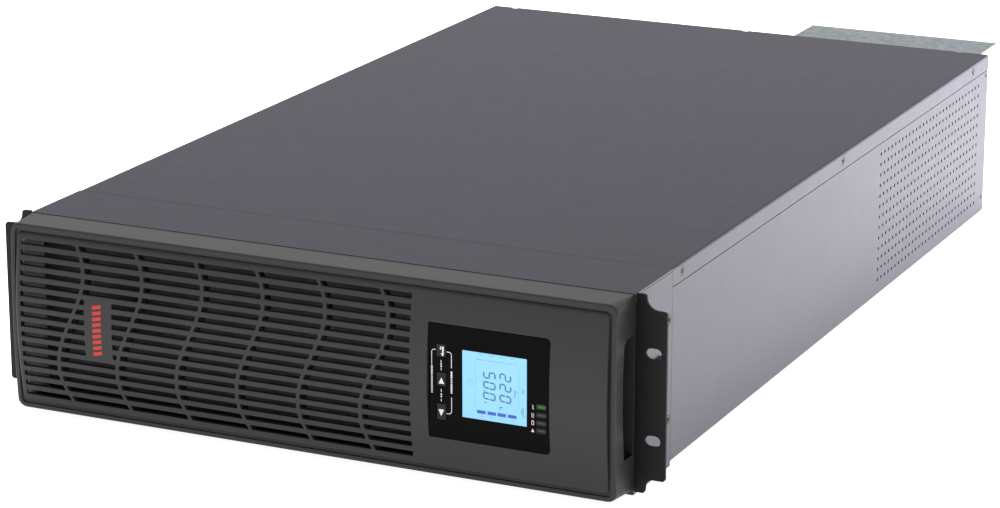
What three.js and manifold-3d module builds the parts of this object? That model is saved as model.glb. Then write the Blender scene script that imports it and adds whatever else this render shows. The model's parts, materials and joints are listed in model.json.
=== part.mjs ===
// Rack-mount uninterruptible power supply, three rack units high.
// Millimetres, +Z up, +Y towards the rear, +X to the right of someone facing the front.
// While it is drawn, Y = 0 is the rear edge of the bezel, which is also the front of the
// rack ears, and Z = 0 is the underside of the chassis floor. The finished group is then
// shifted so that its origin is the middle of its own footprint, on the resting plane.
import * as THREE from "three";
import { mergeVertices } from "three/addons/utils/BufferGeometryUtils.js";
import Module from "manifold-3d";

const wasm = await Module();
wasm.setup();

// ---- driving dimensions -------------------------------------------------
const GAP = 0.3; // clearance between touching pieces
const HALF_W = 220; // half of the 440 mm chassis width
const HEIGHT = 130; // chassis height
const DEPTH = 724; // ear plane to rear edge
const SHEET = 1.5; // steel sheet
const SEAM_Z = 118; // lower edge of the cover's side flange
const CHEEK_Y = 60; // depth of the front frame's side cheeks
const CHEEK_DROP = 2.3; // how far the cheeks reach below the chassis floor

const EAR_HALF = 241.3; // 482.6 mm over the ears, the 19 inch rack width
const EAR_T = 2;
const EAR_LIP_Y = 12; // short return along the ear's whole inner edge
const EAR_TAB_Y = 42; // fixing tab at mid height
const EAR_TAB_Z = [42, 78];
const SLOT_X = 232.55; // 465.1 mm between slot columns
const SLOT_DZ = 28.575; // half of the 57.15 mm slot spacing
const SLOT_MID_Z = 64; // height midway between an ear's two slots
const SLOT_L = 10.4;
const SLOT_H = 7.2;
const MID_Z = 65;

const BEZEL_HALF = 219.4;
const BEZEL_D = 26; // depth at the bezel's top and bottom edges
const BEZEL_Z0 = 0.8;
const BEZEL_Z1 = 129.6;
const RIM_CROWN = 2.8; // how far the rim bows forward at mid height
const FIELD_CROWN = 6.5; // how far the inner field bows forward
const FIELD_HALF = 214.6;
const FIELD_Z0 = 5.8;
const FIELD_Z1 = 124.6;
const WALL = 2.6;

const ROWS = 16; // open rows of the grille
const ROW_PITCH = 7;
const ROW_TOP = 118; // centre of the top row
const ROW_OPEN = 3.3;
const GRILLE_X0 = -210.5;
const GRILLE_X1 = 79.3;
const RIB_X = [-162, -116.9, -71.8, -26.7, 18.4, 63.5];
const RIB_W = 2.6;
// centre line of a grille rib: height, then offset from its rightmost line
const RIB_CURVE = [
  [123, -7.8], [112, -2], [100, 0], [87, -2], [73, -7.8],
  [57, -15.4], [45, -19.4], [33, -20.4], [21, -17.4], [8, -10.4],
];

const BADGE = [-160.7, -139.7, 45.1, 87.3]; // x0, x1, z0, z1

const PANEL = [91.8, 176.2, 27.6, 103.4]; // display module window
const PANEL_Y = -29.8; // front of the display module
const LCD = [115.1, 159.9, 43.5, 88.0];
const KEYS = {
  key_enter: [97.3, 104.0, 81.2, 90.1],
  key_up: [97.3, 104.0, 61.9, 71.3],
  key_down: [97.3, 104.0, 39.5, 50.6],
};
const LED_X = [167.1, 172.6];
const LED_Z = [58.0, 52.6, 47.4, 42.3];
const LED_H = 2.2;

const COVER_SCREW_Y = [75.3, 378.2, 683.4];
const COVER_SCREW_Z = 124.4;
const CHEEK_SCREW_Y = 55.4;
const CHEEK_SCREW_Z = [97.2, 30.6];

const HOOD_X = [52.2, 211.2];
const HOOD_D = 49;
const FAN_SIZE = 80;
const FAN_DEPTH = 25;
const FAN_BORE = 38.2;
const FAN_Z = 62;
const FAN_X = { a: -82, b: 6 };
const BREAKER = { x0: -211, x1: -177, z0: 18, z1: 64, y: 716, z: 41 };
const TERM_X0 = 63.5;
const TERM_POLES = 8;
const TERM_PITCH = 17;

// ---- solids -------------------------------------------------------------
function solid(geometry) {
  const g = geometry.index ? geometry.toNonIndexed() : geometry;
  const bare = new THREE.BufferGeometry().setAttribute("position", g.getAttribute("position"));
  // equal coordinates are made exactly equal, so that flush faces stay flush
  const at = bare.getAttribute("position").array;
  for (let i = 0; i < at.length; i++) at[i] = Math.round(at[i] * 1000) / 1000;
  const merged = mergeVertices(bare, 1e-4);
  return new wasm.Manifold(
    new wasm.Mesh({
      numProp: 3,
      vertProperties: new Float32Array(merged.attributes.position.array),
      triVerts: new Uint32Array(merged.index.array),
    }),
  );
}

function geometryOf(manifold) {
  const m = manifold.getMesh();
  const v = new Float32Array(m.numVert * 3);
  for (let i = 0; i < m.numVert; i++)
    v.set(m.vertProperties.subarray(i * m.numProp, i * m.numProp + 3), i * 3);
  const g = new THREE.BufferGeometry()
    .setAttribute("position", new THREE.BufferAttribute(v, 3))
    .setIndex(new THREE.BufferAttribute(new Uint32Array(m.triVerts), 1));
  g.computeVertexNormals();
  return g;
}

const boxOf = (x0, x1, y0, y1, z0, z1) =>
  solid(
    new THREE.BoxGeometry(x1 - x0, y1 - y0, z1 - z0).translate(
      (x0 + x1) / 2, (y0 + y1) / 2, (z0 + z1) / 2,
    ),
  );

// a cylinder from a to b along X, Y or Z
function rod(axis, r, cx, cy, cz, a, b, seg = 16) {
  const g = new THREE.CylinderGeometry(r, r, b - a, seg);
  if (axis === "x") g.rotateZ(-Math.PI / 2).translate((a + b) / 2, cy, cz);
  if (axis === "y") g.translate(cx, (a + b) / 2, cz);
  if (axis === "z") g.rotateX(Math.PI / 2).translate(cx, cy, (a + b) / 2);
  return solid(g);
}

const shapeOf = (points) => new THREE.Shape(points.map(([a, b]) => new THREE.Vector2(a, b)));
const flatExtrude = (shape, d, seg = 4) =>
  new THREE.ExtrudeGeometry(shape, { depth: d, bevelEnabled: false, curveSegments: seg });
const IN_YZ = new THREE.Matrix4().set(0, 0, 1, 0, 1, 0, 0, 0, 0, 1, 0, 0, 0, 0, 0, 1);
const IN_XZ = new THREE.Matrix4().set(1, 0, 0, 0, 0, 0, -1, 0, 0, 1, 0, 0, 0, 0, 0, 1);
// an outline in (y, z), drawn out along X
const prismX = (points, x0, x1) =>
  solid(flatExtrude(shapeOf(points), x1 - x0).applyMatrix4(IN_YZ).translate(x0, 0, 0));
// an outline in (x, z), drawn out along Y
const prismY = (shape, y0, y1, seg) =>
  solid(flatExtrude(shape, y1 - y0, seg).applyMatrix4(IN_XZ).translate(0, y1, 0));
const mirrorX = (m) => m.mirror([1, 0, 0]);
const join = (...list) => list.flat().reduce((a, b) => a.add(b));
const cut = (a, ...list) => list.flat().reduce((s, b) => s.subtract(b), a);

const root = new THREE.Group();
const add = (name, body, color, roughness = 0.5, metalness = 0, parent = root) => {
  const mesh = new THREE.Mesh(
    geometryOf(body),
    new THREE.MeshStandardMaterial({ color, roughness, metalness }),
  );
  mesh.name = name;
  parent.add(mesh);
  return mesh;
};

const BLACK = 0x232325;
const SIDE_GREY = 0x9d9ba6;
const TOP_GREY = 0x5d5c61;
const BEZEL_GREY = 0x464646;
const ZINC = 0xa5adb3;
const STEEL = 0x8b8d90;

// ---- chassis ------------------------------------------------------------
const chassis = new THREE.Group();
root.add(chassis);

const inner = HALF_W - SHEET;
{
  // floor and side walls; each wall steps in behind the cover's flange
  const floor = join(
    boxOf(-HALF_W, HALF_W, CHEEK_Y + GAP, DEPTH, 0, SHEET),
    boxOf(-inner + GAP, inner - GAP, SHEET + GAP, CHEEK_Y + 2, 0, SHEET),
  );
  const side = join(
    boxOf(inner, HALF_W, CHEEK_Y + GAP, DEPTH, 0, SEAM_Z - GAP),
    boxOf(inner - SHEET - GAP, inner - GAP, CHEEK_Y + GAP, DEPTH - 4, SEAM_Z - 3, HEIGHT - 3),
    boxOf(inner - SHEET, inner + 0.4, CHEEK_Y + GAP, DEPTH - 4, SEAM_Z - 3, SEAM_Z - GAP),
  );
  let tray = join(floor, side, mirrorX(side));
  for (const y of COVER_SCREW_Y)
    tray = cut(
      tray,
      rod("x", 2.1, 0, y, COVER_SCREW_Z, 214, 219, 10),
      rod("x", 2.1, 0, y, COVER_SCREW_Z, -219, -214, 10),
    );
  add("chassis_tray", tray, SIDE_GREY, 0.45, 0.2, chassis);
}
{
  const flange = boxOf(inner, HALF_W, CHEEK_Y + GAP, DEPTH, SEAM_Z, HEIGHT);
  let cover = join(
    boxOf(-HALF_W, HALF_W, GAP, DEPTH, HEIGHT - SHEET, HEIGHT),
    flange,
    mirrorX(flange),
  );
  for (const y of COVER_SCREW_Y)
    cover = cut(
      cover,
      rod("x", 3.2, 0, y, COVER_SCREW_Z, 218, 221, 12),
      rod("x", 3.2, 0, y, COVER_SCREW_Z, -221, -218, 12),
    );
  add("top_cover", cover, TOP_GREY, 0.45, 0.2, chassis);
}
{
  // front frame: bulkhead ring, two side cheeks and a hem under the floor
  const cheek = boxOf(inner, HALF_W, 0, CHEEK_Y, -CHEEK_DROP, HEIGHT - SHEET - GAP);
  let frame = join(
    cheek,
    mirrorX(cheek),
    boxOf(-HALF_W, HALF_W, 0, CHEEK_Y, -CHEEK_DROP, -GAP),
    cut(
      boxOf(-HALF_W, HALF_W, 0, SHEET, -CHEEK_DROP, HEIGHT - SHEET - GAP),
      boxOf(-204, 204, -1, 3, 10, 120),
    ),
  );
  for (const z of CHEEK_SCREW_Z)
    frame = cut(
      frame,
      rod("x", 3.2, 0, CHEEK_SCREW_Y, z, 218, 221, 12),
      rod("x", 3.2, 0, CHEEK_SCREW_Y, z, -221, -218, 12),
    );
  add("front_frame", frame, SIDE_GREY, 0.45, 0.2, chassis);
}

// rack ears: an L of sheet with two horizontal slots each
{
  const s = new THREE.Shape();
  s.moveTo(HALF_W + GAP, 0.2);
  s.lineTo(226.4, 0.2);
  s.lineTo(227.6, 1.4);
  s.lineTo(228, 4.6);
  s.absarc(233, 4.6, 5, Math.PI, Math.PI / 2, true);
  s.lineTo(239.8, 9.6);
  s.lineTo(EAR_HALF, 11.1);
  s.lineTo(EAR_HALF, 119);
  s.lineTo(239.8, 120.4);
  s.lineTo(235, 120.6);
  s.absarc(235, 128.1, 7.5, -Math.PI / 2, -Math.PI, true);
  s.lineTo(227.2, 129.6);
  s.lineTo(226, 130.5);
  s.lineTo(HALF_W + GAP, 130.5);
  for (const z of [SLOT_MID_Z - SLOT_DZ, SLOT_MID_Z + SLOT_DZ]) {
    const h = new THREE.Path();
    const d = (SLOT_L - SLOT_H) / 2;
    h.absarc(SLOT_X + d, z, SLOT_H / 2, -Math.PI / 2, Math.PI / 2, false);
    h.absarc(SLOT_X - d, z, SLOT_H / 2, Math.PI / 2, (3 * Math.PI) / 2, false);
    s.holes.push(h);
  }
  const ear = join(
    prismY(s, 0, EAR_T, 6),
    boxOf(HALF_W + GAP, HALF_W + GAP + 1.6, 0, EAR_LIP_Y, 6, 120),
    boxOf(HALF_W + GAP, HALF_W + GAP + 1.6, 0, EAR_TAB_Y, EAR_TAB_Z[0], EAR_TAB_Z[1]),
  );
  add("right_rack_ear", ear, BLACK, 0.5, 0.3);
  add("left_rack_ear", mirrorX(ear), BLACK, 0.5, 0.3);
}

// countersunk screws along the cover's flanges and in the cheeks
{
  const screw = (y, z) =>
    join(
      rod("x", 2.9, 0, y, z, inner + 0.2, HALF_W - 0.1, 12),
      rod("x", 1.7, 0, y, z, inner - 6, inner + 0.3, 8),
    );
  COVER_SCREW_Y.forEach((y, i) => {
    add("cover_screw_right_" + (i + 1), screw(y, COVER_SCREW_Z), STEEL, 0.4, 0.8);
    add("cover_screw_left_" + (i + 1), mirrorX(screw(y, COVER_SCREW_Z)), STEEL, 0.4, 0.8);
  });
  CHEEK_SCREW_Z.forEach((z, i) => {
    add("cheek_screw_right_" + (i + 1), screw(CHEEK_SCREW_Y, z), STEEL, 0.4, 0.8);
    add("cheek_screw_left_" + (i + 1), mirrorX(screw(CHEEK_SCREW_Y, z)), STEEL, 0.4, 0.8);
  });
}

// ---- rear panel and what is on it ---------------------------------------
const REAR_Y0 = DEPTH - SHEET;
const TERM_X1 = TERM_X0 + TERM_POLES * TERM_PITCH;
{
  let panel = boxOf(-inner + GAP, inner - GAP, REAR_Y0, DEPTH, SHEET + GAP, HEIGHT - SHEET - GAP);
  for (const x of Object.values(FAN_X))
    panel = cut(panel, rod("y", FAN_BORE, x, 0, FAN_Z, REAR_Y0 - 1, DEPTH + 1, 28));
  panel = cut(
    panel,
    boxOf(BREAKER.x0, BREAKER.x1, REAR_Y0 - 1, DEPTH + 1, BREAKER.z0, BREAKER.z1),
    boxOf(-169, -133, REAR_Y0 - 1, DEPTH + 1, 27, 107), // expansion card slot
    boxOf(-210.3, -179.7, REAR_Y0 - 1, DEPTH + 1, 97.7, 110.3), // serial port
    boxOf(-206.3, -193.7, REAR_Y0 - 1, DEPTH + 1, 77.7, 89.3), // usb port
    boxOf(TERM_X0 + 4, TERM_X1 - 4, REAR_Y0 - 1, DEPTH + 1, 76, 98), // terminal block tails
  );
  add("rear_panel", panel, SIDE_GREY, 0.45, 0.2, chassis);
}
{
  // zinc-plated hood plate: upright flange on the panel, flat shelf above the terminals
  const hood = join(
    boxOf(HOOD_X[0], HOOD_X[1], DEPTH + GAP, DEPTH + GAP + 1.2, 109, 128.9),
    boxOf(HOOD_X[0], HOOD_X[1], DEPTH + GAP, DEPTH + HOOD_D, 127.7, 128.9),
  );
  add("terminal_hood", hood, ZINC, 0.4, 0.7, chassis);
}
{
  const y0 = DEPTH + GAP;
  const parts = [
    boxOf(TERM_X0, TERM_X1, y0, y0 + 9, 70, 104),
    boxOf(TERM_X0 + 4.3, TERM_X1 - 4.3, REAR_Y0 - 10, y0 + 1, 76.3, 97.7),
  ];
  for (let i = 0; i <= TERM_POLES; i++) {
    const x = TERM_X0 + i * TERM_PITCH;
    const a = Math.max(TERM_X0, x - 1.1), b = Math.min(TERM_X1, x + 1.1);
    parts.push(boxOf(a, b, y0 + 8, y0 + 22, 70, 104));
  }
  add("terminal_block", join(parts), 0x1d1d1f, 0.5, 0, chassis);
}
{
  const c = join(
    boxOf(-174, -128, DEPTH + GAP, DEPTH + 1.8, 20, 114),
    boxOf(-168.6, -133.4, DEPTH - 6, DEPTH + 0.6, 27.4, 106.6),
  );
  add("expansion_slot_cover", c, STEEL, 0.4, 0.5, chassis);
  const serial = cut(
    join(
      boxOf(-210, -180, DEPTH - 9, DEPTH + 1, 98, 110),
      boxOf(-206, -184, DEPTH, DEPTH + 6, 99.5, 108.5),
    ),
    boxOf(-205, -185, DEPTH + 1, DEPTH + 7, 100.5, 107.5),
  );
  add("serial_port", serial, STEEL, 0.35, 0.8, chassis);
  const usb = cut(
    boxOf(-206, -194, DEPTH - 14, DEPTH + 1.2, 78, 89),
    boxOf(-204.3, -195.7, DEPTH - 8, DEPTH + 2, 79.6, 87.4),
  );
  add("usb_port", usb, STEEL, 0.35, 0.8, chassis);
}
{
  // two-pole breaker: case through the panel, drum and paddle lever
  const b = BREAKER;
  let body = join(
    boxOf(b.x0 + GAP, b.x1 - GAP, DEPTH - 62, DEPTH + 2, b.z0 + GAP, b.z1 - GAP),
  );
  body = cut(
    body,
    boxOf(b.x0 + 6, b.x1 - 6, b.y - 10.5, DEPTH + 3, b.z - 16, b.z + 16),
  );
  add("input_breaker", body, 0x2a2a2c, 0.5, 0, chassis);
  const lever = new THREE.Group();
  lever.position.set((b.x0 + b.x1) / 2, b.y, b.z);
  chassis.add(lever);
  const half = (b.x1 - b.x0) / 2 - 6.4;
  const paddle = solid(
    new THREE.BoxGeometry(2 * half - 2, 19, 4.6).translate(0, 9.5, 0).rotateX((34 * Math.PI) / 180),
  );
  const drum = rod("x", 7.6, 0, 0, 0, -half, half, 20);
  add("breaker_lever", join(drum, paddle), 0x17181a, 0.45, 0, lever);
}

// two axial fans behind the rear panel, each with a wire guard outside
for (const [k, x] of Object.entries(FAN_X)) {
  const y1 = REAR_Y0 - GAP, y0 = y1 - FAN_DEPTH, h = FAN_SIZE / 2;
  let frame = cut(
    boxOf(x - h, x + h, y0, y1, FAN_Z - h, FAN_Z + h),
    rod("y", FAN_BORE, x, 0, FAN_Z, y0 - 1, y1 + 1, 28),
  );
  frame = join(
    frame,
    rod("y", 15, x, 0, FAN_Z, y0, y0 + 3, 16),
    boxOf(x - 39, x + 39, y0, y0 + 2.5, FAN_Z - 1.8, FAN_Z + 1.8),
    boxOf(x - 1.8, x + 1.8, y0, y0 + 2.5, FAN_Z - 39, FAN_Z + 39),
  );
  add("fan_frame_" + k, frame, 0x1b1b1d, 0.6, 0, chassis);

  const spin = new THREE.Group();
  spin.position.set(x, (y0 + y1) / 2, FAN_Z);
  chassis.add(spin);
  let rotor = rod("y", 16, 0, 0, 0, -8.8, 11.6, 20);
  for (let i = 0; i < 7; i++) {
    const blade = new THREE.BoxGeometry(22, 17, 1.6)
      .rotateX((38 * Math.PI) / 180)
      .translate(25, 1.2, 0)
      .rotateY((i * 2 * Math.PI) / 7);
    rotor = rotor.add(solid(blade));
  }
  rotor = rotor.intersect(rod("y", 36.6, 0, 0, 0, -8.8, 11.6, 28));
  add("fan_rotor_" + k, rotor, 0x141416, 0.55, 0, spin);

  // guard: two rings on two crossing bars, standing on the panel
  const gy = DEPTH + GAP;
  const ring = (r) =>
    cut(
      rod("y", r + 0.9, x, 0, FAN_Z, gy + 1.2, gy + 3, 16),
      rod("y", r - 0.9, x, 0, FAN_Z, gy, gy + 4, 16),
    );
  const bar = (turn) =>
    solid(new THREE.BoxGeometry(88, 1.6, 1.8).rotateY(turn).translate(x, gy + 0.8, FAN_Z));
  add(
    "fan_guard_" + k,
    join(ring(17), ring(34), bar(Math.PI / 4), bar(-Math.PI / 4)),
    0xb9bcc0, 0.3, 0.9, chassis,
  );
}

// ---- inside -------------------------------------------------------------
// two battery trays side by side, each with three wrapped blocks
for (const [side, s] of [["left", -1], ["right", 1]]) {
  const x0 = s < 0 ? -209 : 9, x1 = x0 + 200;
  add(
    "battery_tray_" + side,
    cut(
      boxOf(x0, x1, 8, 486, 2, 26),
      boxOf(x0 + 1.2, x1 - 1.2, 7, 484.8, 3.2, 27),
    ),
    ZINC, 0.45, 0.6,
  );
  for (let i = 0; i < 3; i++) {
    const y = 14 + i * 155;
    const block = cut(
      boxOf(x0 + 2.5, x1 - 2.5, y, y + 151, 3.6, 97.6),
      boxOf(x0 + 66.8, x0 + 68.2, y - 1, y + 152, 95.6, 99),
      boxOf(x0 + 131.8, x0 + 133.2, y - 1, y + 152, 95.6, 99),
    );
    add("battery_block_" + side + "_" + (i + 1), block, 0x30343a, 0.6, 0);
  }
}
// black door over the battery bay, on the front of the frame's ring
add("battery_door", boxOf(-207, 207, -1.8, -GAP, 7, 123), 0x18181a, 0.6, 0.2);

{
  // power board with its heat sinks, capacitors and chokes
  add("power_board", boxOf(-205, 205, 494, 690, 8, 10), 0x1f4a35, 0.5, 0);
  const sink = (x0, x1, y0, y1) => {
    const list = [boxOf(x0, x1, y0, y1, 10.4, 15)];
    const n = 7;
    for (let i = 0; i < n; i++) {
      const x = x0 + ((x1 - x0 - 2) * i) / (n - 1);
      list.push(boxOf(x, x + 2, y0, y1, 14, 92));
    }
    return join(list);
  };
  add("heat_sink_rectifier", sink(-110, -48, 520, 680), 0xb4b7ba, 0.4, 0.8);
  add("heat_sink_inverter", sink(-28, 34, 520, 680), 0xb4b7ba, 0.4, 0.8);
  [[66, 520], [106, 520]].forEach(([x, y], i) =>
    add("bus_capacitor_" + (i + 1), rod("z", 17.5, x, y, 0, 10.4, 62, 18), 0x22304f, 0.4, 0.1),
  );
  const choke = (x, y) => {
    const g = new THREE.LatheGeometry(
      [[12, -14], [27, -14], [30, -11], [30, 11], [27, 14], [12, 14], [12, -14]].map(
        ([a, b]) => new THREE.Vector2(a, b),
      ),
      20,
    );
    // lathe axis +Y turned upright
    return solid(g.rotateX(Math.PI / 2).translate(x, y, 25));
  };
  add("input_choke", choke(165, 540), 0x8a5a2c, 0.5, 0.4);
  add("output_choke", choke(100, 640), 0x8a5a2c, 0.5, 0.4);
  add("control_board", boxOf(-172, -170.4, 505, 690, 20, 110), 0x1f4a35, 0.5, 0);
}

// ---- bezel --------------------------------------------------------------
const rimY = (z) => -BEZEL_D - RIM_CROWN * Math.max(0, 1 - ((z - MID_Z) / 64) ** 2);
const fieldY = (z) => -BEZEL_D - FIELD_CROWN * Math.max(0, 1 - ((z - MID_Z) / 62) ** 2);
const steps = (a, b, n) => Array.from({ length: n + 1 }, (_, i) => a + ((b - a) * i) / n);
const bezel = new THREE.Group();
root.add(bezel);
{
  const z0 = BEZEL_Z0, z1 = BEZEL_Z1;
  const outline = [
    [-GAP, z0], [-GAP, z1], [-BEZEL_D + 1, z1],
    ...steps(z1 - 1, z0 + 1, 8).map((z) => [rimY(z), z]),
    [-BEZEL_D + 1, z0],
  ].reverse();
  const hollow = [
    [1, z0 + WALL], [1, z1 - WALL],
    ...steps(z1 - WALL, z0 + WALL, 8).map((z) => [rimY(z) + WALL, z]),
  ].reverse();
  const zs = steps(FIELD_Z1, FIELD_Z0, 10);
  const slab = [
    ...zs.map((z) => [fieldY(z), z]),
    ...zs.slice().reverse().map((z) => [fieldY(z) + 3, z]),
  ];
  let shell = prismX(outline, -BEZEL_HALF, BEZEL_HALF);
  // rounded front corners
  const r = 6.5;
  const round = new THREE.Shape();
  round.moveTo(-BEZEL_HALF + r, z0);
  round.lineTo(BEZEL_HALF - r, z0);
  round.absarc(BEZEL_HALF - r, z0 + r, r, -Math.PI / 2, 0, false);
  round.absarc(BEZEL_HALF - r, z1 - r, r, 0, Math.PI / 2, false);
  round.absarc(-BEZEL_HALF + r, z1 - r, r, Math.PI / 2, Math.PI, false);
  round.absarc(-BEZEL_HALF + r, z0 + r, r, Math.PI, (3 * Math.PI) / 2, false);
  shell = shell.intersect(prismY(round, -40, 0, 3));
  shell = cut(shell, prismX(hollow, -BEZEL_HALF + WALL, BEZEL_HALF - WALL));
  shell = join(shell, prismX(slab.slice().reverse(), -FIELD_HALF, FIELD_HALF));
  // the rim's inside face is filled in behind the raised field
  // side grips: a pocket in each side wall, open outwards and backwards
  const pocket = (grow) => {
    const g = grow;
    return prismX(
      [
        [1, 25 - g], [-14.2 - g, 25 - g], [-16.2 - g, 45], [-17 - g, 62],
        [-16.8 - g, 84], [-15.4 - g, 100 + g * 0.4], [-11.5 - g * 0.4, 103.6 + g], [1, 103.6 + g],
      ],
      212.4 - g, 222,
    );
  };
  const liner = pocket(1.8).intersect(boxOf(200, BEZEL_HALF - 1, -40, -GAP, 0, 140));
  const liner2 = boxOf(210.7, 212.5, -24.5, -GAP, 6, 124);
  shell = join(shell, liner, mirrorX(liner), liner2, mirrorX(liner2));
  shell = cut(shell, pocket(0), mirrorX(pocket(0)));
  // windows for the grille and the display module
  shell = cut(
    shell,
    boxOf(GRILLE_X0, GRILLE_X1, -45, -22.8, ROW_TOP - (ROWS - 1) * ROW_PITCH - ROW_OPEN / 2, ROW_TOP + ROW_OPEN / 2),
    boxOf(PANEL[0], PANEL[1], -45, -20, PANEL[2], PANEL[3]),
  );
  add("front_bezel", shell, BEZEL_GREY, 0.6, 0, bezel);
}
{
  // grille insert: slats between the open rows, six S-shaped ribs, two rails behind
  const z0 = ROW_TOP - (ROWS - 1) * ROW_PITCH - ROW_OPEN / 2 + GAP;
  const z1 = ROW_TOP + ROW_OPEN / 2 - GAP;
  const x0 = GRILLE_X0 + GAP, x1 = GRILLE_X1 - GAP;
  const list = [];
  for (let i = 0; i < ROWS - 1; i++) {
    const z = ROW_TOP - ROW_PITCH * (i + 0.5), h = (ROW_PITCH - ROW_OPEN) / 2;
    list.push(boxOf(x0, x1, -40, -24.6, z - h, z + h));
  }
  for (const x of RIB_X) {
    const band = [
      ...RIB_CURVE.map(([z, d]) => [x + d - RIB_W / 2, z]),
      ...RIB_CURVE.slice().reverse().map(([z, d]) => [x + d + RIB_W / 2, z]),
    ];
    list.push(prismY(shapeOf(band), -40, -20.6));
  }
  // everything stays behind the crowned face
  const rows = Array.from({ length: ROWS }, (_, i) => ROW_TOP - ROW_PITCH * i).filter(
    (z) => z < z1 && z > z0,
  );
  const crown = prismX(
    [
      [-20.6, z0], [fieldY(z0), z0],
      ...rows.slice().reverse().map((z) => [fieldY(z), z]),
      [fieldY(z1), z1], [-20.6, z1],
    ].reverse(),
    x0, x1,
  );
  let grille = join(list).intersect(crown);
  grille = join(
    grille,
    boxOf(x0 + 3, x1, -22.4, -20.6, z0 - 3, z0 + 0.8),
    boxOf(x0 + 3, x1, -22.4, -20.6, z1 - 0.8, z1 + 3),
  );
  grille = cut(grille, boxOf(BADGE[0] - GAP, BADGE[1] + GAP, -45, -30.6, BADGE[2] - GAP, BADGE[3] + GAP));
  add("bezel_grille", grille, BEZEL_GREY, 0.6, 0, bezel);
  add("badge_plate", boxOf(BADGE[0], BADGE[1], -32.3, -30.9, BADGE[2], BADGE[3]), BEZEL_GREY, 0.6, 0, bezel);
}

// ---- display module -----------------------------------------------------
const display = new THREE.Group();
bezel.add(display);
{
  const [x0, x1, z0, z1] = [PANEL[0] + GAP, PANEL[1] - GAP, PANEL[2] + GAP, PANEL[3] - GAP];
  const y = PANEL_Y;
  add(
    "display_housing",
    cut(boxOf(x0, x1, y + 2.3, -6, z0, z1), boxOf(x0 + 1.8, x1 - 1.8, y, -8, z0 + 1.8, z1 - 1.8)),
    0x121214, 0.4, 0, display,
  );
  let windowPlate = boxOf(x0, x1, y, y + 2, z0, z1);
  windowPlate = cut(windowPlate, boxOf(LCD[0], LCD[1], y - 1, y + 3, LCD[2], LCD[3]));
  for (const k of Object.values(KEYS))
    windowPlate = cut(windowPlate, boxOf(k[0] - GAP, k[1] + GAP, y - 1, y + 3, k[2] - GAP, k[3] + GAP));
  for (const z of LED_Z)
    windowPlate = cut(
      windowPlate,
      boxOf(LED_X[0] - GAP, LED_X[1] + GAP, y - 1, y + 3, z - LED_H / 2 - GAP, z + LED_H / 2 + GAP),
    );
  add("display_window", windowPlate, 0x0c0c0e, 0.15, 0, display);
  add(
    "lcd_cell",
    join(
      boxOf(LCD[0] + GAP, LCD[1] - GAP, y + 0.3, y + 3, LCD[2] + GAP, LCD[3] - GAP),
      boxOf(LCD[0] - 2.5, LCD[1] + 2.5, y + 2.3, y + 4.6, LCD[2] - 3, LCD[3] + 3),
    ),
    0x9fe2ff, 0.2, 0, display,
  );
  add("display_board", boxOf(x0 + 4, x1 - 4, y + 7, y + 8.6, z0 + 4, z1 - 4), 0x1f4a35, 0.5, 0, display);
  for (const [name, k] of Object.entries(KEYS))
    add(
      name,
      join(
        boxOf(k[0], k[1], y - 0.1, y + 5.4, k[2], k[3]),
        boxOf(k[0] - 1, k[1] + 1, y + 2.3, y + 3.3, k[2] - 1, k[3] + 1),
      ),
      0x2b2b2d, 0.45, 0, display,
    );
  LED_Z.forEach((z, i) =>
    add(
      "status_led_" + (i + 1),
      boxOf(LED_X[0], LED_X[1], y, y + 6.4, z - LED_H / 2, z + LED_H / 2),
      i ? 0x2a2c2c : 0x39c24a, 0.3, 0, display,
    ),
  );
}

// ---- origin at the middle of the footprint ------------------------------
root.updateMatrixWorld(true);
const bounds = new THREE.Box3().setFromObject(root, true);
const part = new THREE.Group();
root.position.set(
  -(bounds.min.x + bounds.max.x) / 2,
  -(bounds.min.y + bounds.max.y) / 2,
  -bounds.min.z,
);
part.add(root);

export default part;
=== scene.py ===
import bpy, bmesh, math, json
from mathutils import Vector, Matrix, geometry

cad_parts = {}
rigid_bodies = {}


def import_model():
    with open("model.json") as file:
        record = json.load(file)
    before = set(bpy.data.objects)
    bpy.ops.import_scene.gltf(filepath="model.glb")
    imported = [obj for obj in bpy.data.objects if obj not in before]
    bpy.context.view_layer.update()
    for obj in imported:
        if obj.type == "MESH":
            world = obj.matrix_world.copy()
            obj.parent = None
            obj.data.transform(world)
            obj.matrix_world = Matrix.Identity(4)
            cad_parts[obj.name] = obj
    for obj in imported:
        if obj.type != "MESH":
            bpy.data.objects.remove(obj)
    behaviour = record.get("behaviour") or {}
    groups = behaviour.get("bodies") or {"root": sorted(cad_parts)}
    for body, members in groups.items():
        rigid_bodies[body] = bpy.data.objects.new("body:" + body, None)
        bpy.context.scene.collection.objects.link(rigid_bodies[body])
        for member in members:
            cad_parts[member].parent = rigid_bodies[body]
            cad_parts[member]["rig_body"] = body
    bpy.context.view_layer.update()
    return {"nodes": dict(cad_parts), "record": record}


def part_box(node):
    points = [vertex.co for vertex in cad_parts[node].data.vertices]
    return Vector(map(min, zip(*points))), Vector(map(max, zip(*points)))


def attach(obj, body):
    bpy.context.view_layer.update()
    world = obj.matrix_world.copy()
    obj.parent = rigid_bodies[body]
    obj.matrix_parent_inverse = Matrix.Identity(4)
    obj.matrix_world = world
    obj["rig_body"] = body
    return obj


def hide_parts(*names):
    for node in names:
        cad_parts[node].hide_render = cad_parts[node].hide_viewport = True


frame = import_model()
N = frame["nodes"]
MM = 0.001
_lo, _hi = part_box("chassis_tray")
OY, OZ = _hi.y - 0.724, _lo.z          # rear edge of the case and underside of its floor
SC = bpy.context.scene


def P(x, y, z):
    """A point of the CAD drawing, in millimetres, in the row frame in metres."""
    return (x * MM, OY + y * MM, OZ + z * MM)


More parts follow.
